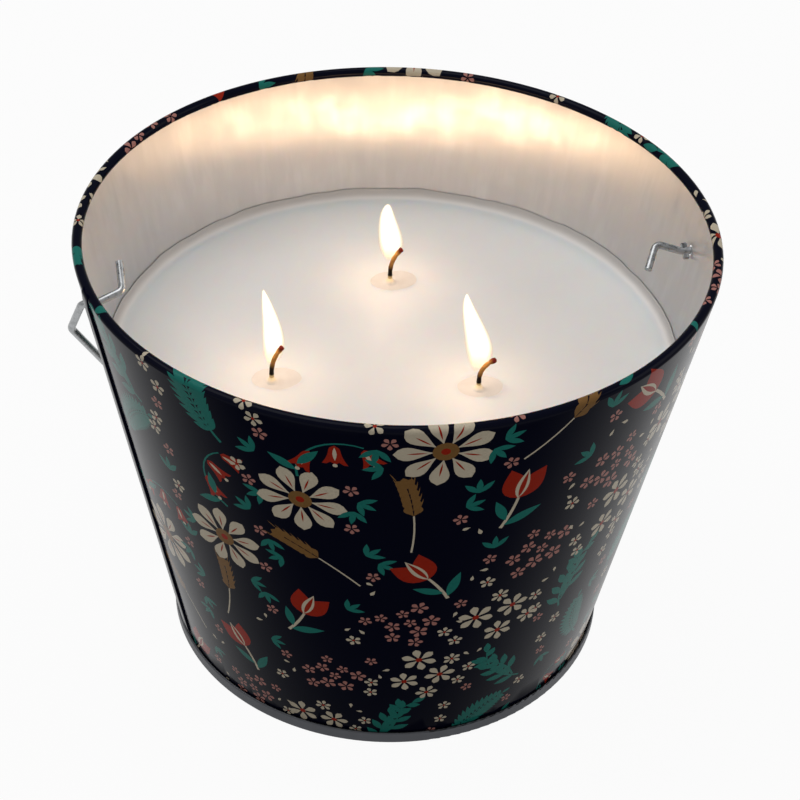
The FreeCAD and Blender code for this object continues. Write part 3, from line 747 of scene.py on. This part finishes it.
# Triangulation of the printed sheet, cell by cell

# Width of a degree round the wall in millimetres, and degrees from side to side of a cell and of
# the grid in it
DEGREE_WIDTH = 1.26
CELL_DEGREES = 10
GRID_DEGREES = 2

# Where the print ends: degrees from the middle of the side seam, millimetres below the double
# seam's top, and degrees round the rim curl from outwards
SEAM_COVER = 1.6
FOLD_COVER = 0.5
CURL_COVER = 205

# Points of neighbouring cells are welded where they agree to one in so many parts of a millimetre
WELD_STEPS = 2000

RIM_GLOSS = 0.12


def clip(outline, axis, bound, side):
    """Part of an outline on one side of a line. Each crossing is worked out from the side's
    lower end, so that both neighbours of the line get the very same point."""
    value = outline[:, axis]
    inside = side * value >= side * bound
    if inside.all():
        return outline
    following = np.roll(outline, -1, 0)
    rising = (value <= following[:, axis])[:, None]
    low = np.where(rising, outline, following)
    high = np.where(rising, following, outline)
    gap = high[:, axis] - low[:, axis]
    share = (bound - low[:, axis]) / np.where(gap > 0, gap, 1)
    cut = low + (high - low) * share[:, None]
    cut[:, axis] = bound
    crossing = inside != np.roll(inside, -1)
    both = np.stack([outline, cut], 1).reshape(-1, 2)
    return both[np.stack([inside, crossing], 1).ravel()]


def clip_box(outline, box):
    for axis, (low, high) in enumerate(box):
        for bound, side in ((low, 1), (high, -1)):
            if len(outline) < 3:
                return outline[:0]
            outline = clip(outline, axis, bound, side)
    return outline


def topmost(centres, outlines):
    """Number of the last outline over each centre, or -1. A centre is inside an outline if an
    odd number of its edges cross the level line on the centre's right."""
    tops = np.full(len(centres), -1)
    across, up = centres[:, :1], centres[:, 1:]
    for number, outline in outlines:
        following = np.roll(outline, -1, 0)
        rise = following[:, 1] - outline[:, 1]
        slope = (following[:, 0] - outline[:, 0]) / np.where(rise == 0, 1, rise)
        spans = (outline[:, 1] > up) != (following[:, 1] > up)
        beyond = outline[:, 0] + (up - outline[:, 1]) * slope > across
        tops[(spans & beyond).sum(1) % 2 == 1] = number
    return tops


def cell_mesh(columns, rows, outlines):
    """Triangles of one cell, each with the number of the topmost outline over it, or -1."""
    across, up = (part.ravel() for part in np.meshgrid(columns, rows))
    points = [np.stack([across, up], 1)]
    count = len(across)
    edges = []
    for _, outline in outlines:
        points.append(outline)
        ring = np.arange(count, count + len(outline))
        edges.append(np.stack([ring, np.roll(ring, -1)], 1))
        count += len(outline)
    points = [Vector(point) for point in np.concatenate(points).tolist()]
    edges = np.concatenate(edges).tolist() if edges else []
    places, _, triangles, _, _, _ = delaunay_2d_cdt(points, edges, [], 0, 1e-5, False)
    places = np.array([tuple(place) for place in places])
    triangles = np.array(triangles)
    return places, triangles, topmost(places[triangles].mean(1), outlines)


def sheet_mesh(rows, outlines):
    """One mesh over the whole sheet: cells that share the points on their borders, welded."""
    scaled = [outline * (DEGREE_WIDTH, 1) for outline in outlines]
    lows = np.array([part.min(0) for part in scaled])
    highs = np.array([part.max(0) for part in scaled])
    all_places, all_triangles, all_tops = [], [], []
    total = 0
    for column in range(360 // CELL_DEGREES):
        degrees = np.arange(0, CELL_DEGREES + 1, GRID_DEGREES) + column * CELL_DEGREES
        columns = degrees * DEGREE_WIDTH
        for levels in rows:
            box = ((columns[0], columns[-1]), (levels[0], levels[-1]))
            low, high = np.transpose(box)
            near = ((lows <= high) & (highs >= low)).all(1)
            inside = [(number, clip_box(scaled[number], box)) for number in np.flatnonzero(near)]
            inside = [(number, part) for number, part in inside if len(part)]
            places, triangles, tops = cell_mesh(columns, levels, inside)
            all_places.append(places)
            all_triangles.append(triangles + total)
            all_tops.append(tops)
            total += len(places)
    places = np.concatenate(all_places)
    places[places[:, 0] > 360 * DEGREE_WIDTH - 1e-4, 0] = 0
    keys = np.round(places * WELD_STEPS).astype(np.int64)
    _, first, number = np.unique(keys, axis=0, return_index=True, return_inverse=True)
    triangles = number.reshape(-1)[np.concatenate(all_triangles)]
    whole = (triangles != np.roll(triangles, -1, 1)).all(1)
    return places[first] / (DEGREE_WIDTH, 1), triangles[whole], np.concatenate(all_tops)[whole]


def sheet_rows(wall, print_end):
    """Levels of the sheet's cells, from the fold at the foot to the curl's raw edge. Cells are
    low on the curl, so that no outline cuts across its bend."""
    bounds = np.linspace(-FOLD_COVER, wall.length, 7)
    rows = [np.linspace(wall.low, -FOLD_COVER, 2)]
    rows += [np.linspace(low, high, 4) for low, high in zip(bounds[:-1], bounds[1:])]
    bounds = np.linspace(wall.length, print_end, 13)
    rows += [np.array(pair) for pair in zip(bounds[:-1], bounds[1:])]
    rows.append(np.linspace(print_end, wall.end, 7))
    return rows


def nearest(places, wanted):
    """Index of the place nearest to each of the wanted ones."""
    return ((places[None] - wanted[:, None]) ** 2).sum(2).argmin(1)


def ring_at(places, level):
    """Indices of the places at a level, in their order round the wall."""
    found = np.flatnonzero(np.abs(places[:, 1] - level) < 1e-3)
    return found[np.argsort(places[found, 0])]


def band(first, second):
    """Quads between two closed rings with as many points each."""
    return np.stack([first, np.roll(first, -1), np.roll(second, -1), second], 1)


class CANDLE_OT_wall(Operator):
    """Makes the printed tinplate wall with its rim curl, side seam and bail holes"""

    bl_idname = "candle.wall"
    bl_label = "Printed wall"

    def execute(self, context):
        settings = context.scene.bucket_wall
        inks = context.scene.bucket_print
        wall = Wall(settings)
        print_end = wall.length + wall.curl * (math.radians(CURL_COVER) + wall.lean)
        rows = sheet_rows(wall, print_end)
        holes = [wall.hole(heading, settings.hole_radius / MM, settings.hole_height / MM)
                 for heading in (0, 180)]
        box = ((SEAM_COVER, 360 - SEAM_COVER), (-FOLD_COVER, print_end))
        kept = [(ink, clip_box(outline, box)) for ink, outline in print_fields(wall, inks)]
        kept = [(ink, outline) for ink, outline in kept if len(outline) > 2]

        outer, outer_faces, tops = sheet_mesh(rows, [part for _, part in kept] + holes)
        outer_inks = np.array([INKS.index(ink) for ink, _ in kept] + [-1, -1, 0])[tops]
        outer_faces, outer_inks = outer_faces[outer_inks >= 0], outer_inks[outer_inks >= 0]
        inner, inner_faces, tops = sheet_mesh(rows, holes)
        inner_faces = inner_faces[tops < 0]
        shift = len(outer)
        bands = [band(ring_at(outer, wall.end), ring_at(inner, wall.end) + shift),
                 band(ring_at(outer, wall.low), ring_at(inner, wall.low) + shift)[:, ::-1]]
        for hole in holes:
            bands.append(band(nearest(outer, hole), nearest(inner, hole) + shift)[:, ::-1])

        materials = [printed_lacquer("lacquer_" + ink, list(getattr(inks, ink))) for ink in INKS]
        materials.append(tinplate("tinplate_inside", (0.62, 0.62, 0.63), 0.35, (1, 1, 0.04), 0.80))
        bare = np.full(len(inner_faces) + sum(map(len, bands)), len(INKS))
        outer_points, outer_normals = wall.points(outer)
        inner_points, inner_normals = wall.points(inner, settings.sheet / MM)
        shell = make_piece(
            "bucket_shell", np.concatenate([outer_points, inner_points]),
            [outer_faces, inner_faces[:, ::-1] + shift, *bands], materials,
            np.concatenate([outer_inks, bare]), np.concatenate([outer_normals, -inner_normals]),
            self.rim_map(wall, np.concatenate([outer, inner])))
        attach(shell, "bucket")
        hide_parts("bucket_wall", *("print_" + ink for ink in INKS[1:]))
        self.side_seam(settings, wall, materials[0])
        return {"FINISHED"}

    def rim_map(self, wall, places):
        """Map of the shell: round the wall, and 0 on the wall to RIM_GLOSS on the rolled rim."""
        rim = RIM_GLOSS * smooth_step(places[:, 1], wall.length - 0.3, wall.length + 0.6)
        return np.stack([places[:, 0] / 360, rim], 1)

    def side_seam(self, settings, wall, material):
        """Folded side seam: a flat-topped strip, steeper on its folded side, carried up the cone
        and thinning out over the curl."""
        half = settings.seam_width / MM / 2
        rise = settings.seam_rise / MM
        across = np.array([-1, -0.985, -0.93, -0.85, 0.80, 0.90, 0.97, 1]) * half
        height = np.array([-0.1, 0.62, 0.92, 1, 0.97, 0.85, 0.45, -0.1]) * rise
        across = np.concatenate([across, across[::-1] * 0.98])
        height = np.concatenate([height, np.full(8, -0.16 * rise)])
        up = np.concatenate([np.linspace(0.2, wall.length, 50),
                             wall.length + np.linspace(0.1, 2.9, 14)])
        fade = 1 - 1.03 * smooth_step(up, wall.length - 1.5, wall.length + 1.6)
        fade = fade * smooth_step(up, -0.4, 0.9)
        lift = np.where(height > 0, height[None] * fade[:, None], height[None])
        up_all = np.broadcast_to(up[:, None], lift.shape)
        around = wall.section(up_all)[0]
        places = np.stack([np.degrees(across[None] / around).ravel(), up_all.ravel()], 1)
        points = wall.points(places, -lift.ravel())[0]
        rows, columns = len(up), len(across)
        caps = [np.arange(columns)[::-1], np.arange(columns) + (rows - 1) * columns]
        seam = make_piece("side_seam", points, [tube_quads(rows, columns), caps], [material])
        split = seam.modifiers.new("edge_split", "EDGE_SPLIT")
        split.split_angle = math.radians(50)
        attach(seam, "bucket")


class CANDLE_OT_base(Operator):
    """Finishes the base, its sealing compound and what holds the wicks in the wax"""

    bl_idname = "candle.base"
    bl_label = "Base and wick holders"

    def execute(self, context):
        # Painted shade: the base's bare tinplate is given a near-black colour
        dress_node("bucket_base", tinplate("tinplate_base_painted_shade", (0.085, 0.088, 0.097), 0.42, (1, 1, 0.2)))
        dress_node("seam_seal", soft_matter("sealing_compound", (0.5, 0.48, 0.42), 900, 0.7))
        foam = soft_matter("adhesive_foam", (0.85, 0.85, 0.82), 1500, 0.9)
        steel = tinplate("tab_steel", (0.6, 0.6, 0.6), 0.35, (1, 0.1, 1))
        for wick in WICKS:
            dress_node("wick_pad_" + wick, foam)
            dress_node("wick_tab_" + wick, steel)
        return {"FINISHED"}


def wick_place(wick):
    """Middle of a wick's foot, from the tab that holds it."""
    low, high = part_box("wick_tab_" + wick)
    return np.array([(low.x + high.x) / 2, (low.y + high.y) / 2, low.z])


# Wax, in millimetres: how far it stands below its node's top, its gap at the wall and the radius
# of its rounded lip. WAX_SLOPES is how many times the wax edge its rise at the wall reaches in.
WAX_SINK = 0.35
WAX_GAP = 0.30
WAX_LIP = 0.18
WAX_SLOPES = 5

# Melt pools: their middle from the wick in millimetres, front to back as a share of side to side,
# and their underside below their top in millimetres
POOL_SHIFT = np.array([1.0, 0.9, 0])
POOL_SQUASH = 0.72
POOL_FLOOR = 0.9


class CANDLE_OT_wax(Operator):
    """Makes the poured wax, with a hollow for each melt pool and a rounded edge at the wall"""

    bl_idname = "candle.wax"
    bl_label = "Poured wax"

    def execute(self, context):
        wall = Wall(context.scene.bucket_wall)
        settings = context.scene.candle
        inset = context.scene.bucket_wall.sheet / MM / math.cos(wall.lean) + WAX_GAP
        level = settings.wax_level / MM - WAX_SINK
        slope = settings.wax_edge / MM
        reach = WAX_SLOPES * slope
        around = circle(384)
        climb = settings.wax_climb / MM * (1 + 0.22 * waves(around, 5)
                                           + 0.13 * waves(around, 9, (17, 29, 43, 61)))
        edge = wall.radius_at(level + climb) - inset
        gap = np.concatenate([np.linspace(1, 0, 90)[:-1] * (edge.max() - reach) + reach,
                              reach * np.linspace(1, 0, 26) ** 1.6])[1:, None]
        flat = np.maximum(edge - gap, 0.4)
        x, y = flat * np.cos(around), flat * np.sin(around)
        z = level + climb * np.exp(-gap / slope) + 0.05 * np.sin(x / 11 + 1) * np.sin(y / 9 + 2)
        for number, wick in enumerate(WICKS):
            place = wick_place(wick) / MM + POOL_SHIFT
            turn = np.arctan2(y - place[1], x - place[0])
            rim = settings.pool_radius / MM * (1 + 0.10 * waves(turn, 20 + number, (1, 2, 3, 5)))
            away = np.hypot(x - place[0], (y - place[1]) / POOL_SQUASH) / rim
            z = z - settings.pool_depth / MM * (1 - smooth_step(away, 0.66, 1.05))

        fall = np.linspace(0, np.pi / 2, 5)[1:, None]
        lip_radius = edge + WAX_LIP * np.sin(fall)
        lip_height = z[-1] - WAX_LIP * (1 - np.cos(fall))
        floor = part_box("wax")[0].z / MM
        side = np.linspace(0, 1, 8)[1:, None]
        side_radius = lip_radius[-1] + (wall.radius_at(floor) - inset - lip_radius[-1]) * side
        side_height = lip_height[-1] + (floor - lip_height[-1]) * side
        radius = np.concatenate([flat, lip_radius, side_radius])
        height = np.concatenate([z, lip_height, side_height])
        near = np.clip(1 - gap / reach, 0, 1)
        near = np.concatenate([near, np.ones((len(radius) - len(near), 1))])
        rings = np.stack([radius * np.cos(around), radius * np.sin(around), height], 2)
        points, faces, uv = tube(rings, [[0, 0, z[0].mean()], [0, 0, floor]], near, flip=True)
        body = make_piece("poured_wax", points * MM, faces, [set_wax()], uv=uv)
        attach(body, "bucket")
        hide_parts("wax")
        material = melted_wax()
        for wick in WICKS:
            self.pool(wick, settings, material)
        return {"FINISHED"}

    def pool(self, wick, settings, material):
        """Melted wax: a level oval that the wax's hollow cuts to shape. Its rise at the wick is
        a falling exponential of the distance from it."""
        place = wick_place(wick) / MM
        level = settings.wax_level / MM - WAX_SINK - settings.pool_depth / MM * 0.4
        floor = level - POOL_FLOOR
        around = circle(96)
        away = np.linspace(0, 1, 31)[1:, None] ** 1.3 * settings.pool_radius / MM * 1.08
        below = away[-2::-1]
        near = np.minimum(np.exp(-(away - settings.wick_radius / MM) / 0.5), 1)
        top = level + settings.pool_climb / MM * near
        radius = np.concatenate([away, below])
        height = np.concatenate([top, floor + POOL_FLOOR * (below / away[-1]) ** 4])
        out = smooth_step(radius, 1, 4)
        x = place[0] + radius * np.cos(around) + POOL_SHIFT[0] * out
        y = place[1] + radius * np.sin(around) * (1 + (POOL_SQUASH - 1) * out) + POOL_SHIFT[1] * out
        rings = np.stack([x, y, np.broadcast_to(height, x.shape)], 2)
        ends = [[*place[:2], top[0, 0]], [*place[:2], floor]]
        points, faces, uv = tube(rings, ends, np.concatenate([near, below * 0]), (1, 0), True)
        pool = make_piece("melt_pool_" + wick, points * MM, faces, [material], uv=uv)
        pool.visible_shadow = False
        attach(pool, "bucket")


# Straight stand, bend radius and turn of each bare wick, in millimetres and degrees
WICK_BENDS = {"left": (2.4, 13.8, 37), "right": (2.8, 7.2, 63), "back": (3.0, 11.5, 42)}

# Flames, in millimetres: heights of foot and tip above the wax, how far its middle line stands
# sideways at four even heights (as control points), half its width, and how pointed the tip is
FLAMES = {
    "left": (1.9, 27.5, (-1.0, 2.1, -0.5, -2.0), 2.65, 0.66),
    "right": (2.6, 28.5, (-1.6, 2.5, -3.9, -4.5), 3.20, 0.66),
    "back": (4.7, 24.1, (-1.1, 1.8, -2.1, -1.2), 2.85, 0.48),
}
# Size and opacity of each layer of a flame from its heart out, and its depth as a share of its
# width
FLAME_LAYERS = ((0.72, 0.95), (0.86, 0.60), (0.98, 0.40), (1.10, 0.20))
FLAME_DEPTH = 0.6

UPWARDS = np.array([0, 0, 1])


def level_ways(settings):
    """The level direction that the wick tips lean to, and the one a quarter turn from it."""
    lean = np.array([math.cos(settings.heading), math.sin(settings.heading), 0])
    return lean, np.array([-lean[1], lean[0], 0])


class CANDLE_OT_wicks(Operator):
    """Makes the braided wicks, charred and bent over at their tips"""

    bl_idname = "candle.wicks"
    bl_label = "Wicks"

    def execute(self, context):
        settings = context.scene.candle
        material = charred_cotton()
        for wick in WICKS:
            self.wick(wick, settings, material)
        return {"FINISHED"}

    def wick(self, wick, settings, material):
        """Tube along the wick's line, straight and then an arc. Its radius carries a braid: the
        greater of two sines that wind opposite ways round it."""
        stand, bend, turn = WICK_BENDS[wick]
        place = wick_place(wick) / MM
        straight = settings.wax_level / MM + stand - place[2]
        arc = np.radians(turn) * np.linspace(0, 1, 36)[1:]
        stem = np.concatenate([np.linspace(0, straight - 4, 12),
                               np.linspace(straight - 4, straight, 14)[1:]])
        rise = np.concatenate([stem, straight + bend * np.sin(arc)])[:, None]
        tilt = np.concatenate([stem * 0, arc])[:, None]
        reach = bend * (1 - np.cos(tilt))
        lean, side = level_ways(settings)
        around = circle(28)
        run = np.hypot(np.diff(rise, axis=0, prepend=0), np.diff(reach, axis=0, prepend=0)).cumsum(0)
        bare = (rise - straight + stand) / (rise[-1] - straight + stand)
        braid = np.maximum(np.sin(2 * around + 3.4 * run), np.sin(2 * around - 3.4 * run))
        flare = 1 + 0.22 * smooth_step(bare, 0.86, 1.0) + 0.05 * np.sin(run * 2.3)
        radius = settings.wick_radius / MM * flare * (0.92 + 0.09 * braid)
        radius = radius * (1 + 0.10 * smooth_step(-bare, -0.12, 0.1))
        outward = np.cos(tilt) * lean - np.sin(tilt) * UPWARDS
        line = place + reach * lean + rise * UPWARDS
        ring = np.cos(around)[:, None] * outward[:, None] + np.sin(around)[:, None] * side
        tip = line[-1] + 0.25 * (np.sin(tilt[-1]) * lean + np.cos(tilt[-1]) * UPWARDS)
        points, faces, uv = tube(line[:, None] + radius[..., None] * ring, [line[0], tip],
                                 np.clip(bare, 0, 1))
        cord = make_piece("braided_wick_" + wick, points * MM, faces, [material], uv=uv)
        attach(cord, "bucket")
        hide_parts("wick_" + wick)


class CANDLE_OT_flames(Operator):
    """Makes the flames as nested glowing layers, and the lamps that light for them"""

    bl_idname = "candle.flames"
    bl_label = "Flames"

    def execute(self, context):
        settings = context.scene.candle
        layers = [(size, flame_glow("flame_layer_%d" % number, 1 - number / 3, opacity))
                  for number, (size, opacity) in enumerate(FLAME_LAYERS)]
        for wick in WICKS:
            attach(self.flame(wick, settings, layers), "bucket")
            self.light(wick, settings, "light", 0.5, settings.flame_power)
            self.light(wick, settings, "gleam", 0.7, settings.flame_power * 1.3).visible_diffuse = False
        return {"FINISHED"}

    def line(self, wick, settings, share):
        """Middle line of a flame: a curve of third degree from foot to tip."""
        foot, tip, pulls, _, _ = FLAMES[wick]
        share = share[:, None]
        rest = 1 - share
        weights = (rest ** 3, 3 * rest ** 2 * share, 3 * rest * share ** 2, share ** 3)
        aside = sum(pull * weight for pull, weight in zip(pulls, weights))
        lean, side = level_ways(settings)
        base = wick_place(wick) / MM * (1, 1, 0) + settings.wax_level / MM * UPWARDS
        base = base + settings.flame_stand_off / MM * side
        return base + aside * lean + (foot + (tip - foot) * share) * UPWARDS

    def flame(self, wick, settings, layers):
        """Drop round the middle line. Its radius is a power of what is left to the tip, times
        a quick rise at the foot."""
        _, _, _, half, point = FLAMES[wick]
        share = np.sin(np.linspace(0, np.pi / 2, 46)[1:-1]) ** 2
        around = circle(32)[:, None]
        lean, side = level_ways(settings)
        ring = np.cos(around) * lean + np.sin(around) * side * FLAME_DEPTH
        half = half * 1.5 * (1 - share) ** point * (1 - (1 - share) ** 6) ** 1.4
        points, faces, inks, maps = [], [], [], []
        for number, (size, _) in enumerate(layers):
            reach = 0.9 + 0.1 * size
            ends = self.line(wick, settings, np.array([0.5 - reach / 2, 0.5 + reach / 2]))
            middle = self.line(wick, settings, 0.5 + (share - 0.5) * reach)
            rings = middle[:, None] + (half * size)[:, None, None] * ring
            layer_points, layer_faces, layer_map = tube(rings, ends, share)
            shift = sum(map(len, points))
            faces += [some + shift for some in layer_faces]
            inks += [number] * sum(map(len, layer_faces))
            points.append(layer_points)
            maps.append(layer_map)
        flame = make_piece("flame_" + wick, np.concatenate(points) * MM, faces,
                           [material for _, material in layers], inks, uv=np.concatenate(maps))
        flame.visible_shadow = flame.visible_diffuse = flame.visible_glossy = False
        return flame

    def light(self, wick, settings, name, share, power):
        """Small warm lamp inside the flame, whose own glow lights nothing."""
        lamp = bpy.data.lights.new("flame_%s_%s" % (name, wick), "POINT")
        lamp.energy = power
        lamp.color = (1.0, 0.65, 0.37)
        lamp.shadow_soft_size = 6 * MM
        holder = add_object(lamp.name, lamp)
        holder.location = (self.line(wick, settings, np.array([share]))[0] * MM).tolist()
        holder.visible_camera = False
        return holder


class CANDLE_OT_bail(Operator):
    """Finishes the wire bail"""

    bl_idname = "candle.bail"
    bl_label = "Bail"

    def execute(self, context):
        dress_node("bail_handle", drawn_wire())
        return {"FINISHED"}


def white_to_camera(tree, surface, share, mirrored):
    """Shader that is white light to camera, mirror and glass rays, and a surface to the rest."""
    rays = add_node(tree, "ShaderNodeLightPath").outputs
    mirror = maths(tree, "MULTIPLY", rays["Is Glossy Ray"], mirrored)
    seen = maths(tree, "MAXIMUM", rays["Is Camera Ray"], mirror)
    seen = maths(tree, "MAXIMUM", seen, rays["Is Transmission Ray"])
    kind = "ShaderNodeBackground" if surface.node.type == "BACKGROUND" else "ShaderNodeEmission"
    white = add_node(tree, kind, Color=(1, 1, 1, 1), Strength=1.0)
    mix = add_node(tree, "ShaderNodeMixShader", Fac=maths(tree, "MULTIPLY", seen, share))
    put(tree, mix.inputs[1], surface)
    put(tree, mix.inputs[2], white.outputs[0])
    return mix.outputs[0]


# Half the floor's side in metres
FLOOR_HALF = 3.0

# Lamps: name, place and side in metres, and share of the large lamp's power
LAMPS = (
    ("key_lamp", (-0.35, 0.25, 1.35), 1.1, 1.0),
    ("left_lamp", (-1.15, -0.10, 0.65), 0.8, 0.05),
    ("right_lamp", (1.15, -0.10, 0.65), 0.8, 0.30),
)


class CANDLE_OT_stage(Operator):
    """Makes the pale floor, the soft light and the camera"""

    bl_idname = "candle.stage"
    bl_label = "Stage"

    def execute(self, context):
        settings = context.scene.stage
        scene = context.scene
        scene.view_settings.view_transform = "Standard"
        self.floor()
        self.sky(scene, settings)
        for name, place, side, share in LAMPS:
            self.lamp(name, place, side, settings.key * share)
        self.camera(scene, settings)
        return {"FINISHED"}

    def floor(self):
        corners = [(x * FLOOR_HALF, y * FLOOR_HALF, 0) for x, y in ((-1, -1), (1, -1), (1, 1), (-1, 1))]
        material, tree, shader = new_material("pale_floor")
        fill(tree, shader, Base_Color=(0.55, 0.55, 0.55, 1), Roughness=0.9)
        fill(tree, tree.nodes["Material Output"],
             Surface=white_to_camera(tree, shader.outputs[0], 0.95, 0.8))
        floor = make_piece("floor", corners, [[(0, 1, 2, 3)]], [material])

    def sky(self, scene, settings):
        world = bpy.data.worlds.new("soft_sky")
        world.use_nodes = True
        tree = world.node_tree
        sky = tree.nodes["Background"]
        fill(tree, sky, Color=(1, 1, 1, 1), Strength=settings.sky)
        fill(tree, tree.nodes["World Output"],
             Surface=white_to_camera(tree, sky.outputs[0], 1.0, 0.25))
        scene.world = world

    def lamp(self, name, place, side, power):
        """Square lamp that faces the bucket's middle."""
        lamp = bpy.data.lights.new(name, "AREA")
        lamp.energy = power
        lamp.size = side
        holder = add_object(name, lamp)
        holder.location = place
        aim = Vector((0, 0, 0.06)) - Vector(place)
        holder.rotation_euler = aim.to_track_quat("-Z", "Y").to_euler()

    def camera(self, scene, settings):
        """Camera at its place, aimed at its target and turned round its line of sight."""
        place = Vector(settings.camera_place)
        ahead = (Vector(settings.camera_target) - place).normalized()
        level = ahead.cross(Vector((0, 0, 1))).normalized()
        above = level.cross(ahead)
        turn = settings.camera_roll
        right = level * math.cos(turn) + above * math.sin(turn)
        up = above * math.cos(turn) - level * math.sin(turn)
        lens = bpy.data.cameras.new("camera")
        lens.lens = settings.lens
        lens.sensor_width = 36
        lens.clip_start = 0.01
        camera = add_object("camera", lens)
        facing = Matrix((right, up, -ahead)).transposed().to_4x4()
        camera.matrix_world = Matrix.Translation(place) @ facing
        scene.camera = camera


class CANDLE_PT_panel(Panel):
    """Lists the steps that make the candle bucket"""

    bl_idname = "CANDLE_PT_panel"
    bl_label = "Candle bucket"
    bl_space_type = "VIEW_3D"
    bl_region_type = "UI"
    bl_category = "Candle bucket"

    def draw(self, context):
        for step in STEPS:
            self.layout.operator(step.bl_idname)
        for name in SETTINGS:
            group = getattr(context.scene, name)
            box = self.layout.box()
            for key in group.bl_rna.properties.keys():
                if key not in ("rna_type", "name"):
                    box.prop(group, key)


STEPS = (CANDLE_OT_wall, CANDLE_OT_base, CANDLE_OT_wax, CANDLE_OT_wicks, CANDLE_OT_flames,
         CANDLE_OT_bail, CANDLE_OT_stage)
SETTINGS = {"bucket_wall": WallSettings, "bucket_print": PrintSettings,
            "candle": CandleSettings, "stage": StageSettings}


def register():
    for group in SETTINGS.values():
        bpy.utils.register_class(group)
    for name, group in SETTINGS.items():
        setattr(bpy.types.Scene, name, PointerProperty(type=group))
    for step in (*STEPS, CANDLE_PT_panel):
        bpy.utils.register_class(step)


def unregister():
    for step in (*STEPS, CANDLE_PT_panel):
        bpy.utils.unregister_class(step)
    for name, group in SETTINGS.items():
        delattr(bpy.types.Scene, name)
        bpy.utils.unregister_class(group)


def main():
    register()
    bpy.ops.candle.wall()
    bpy.ops.candle.base()
    bpy.ops.candle.wax()
    bpy.ops.candle.wicks()
    bpy.ops.candle.flames()
    bpy.ops.candle.bail()
    bpy.ops.candle.stage()


if __name__ == "__main__":
    main()
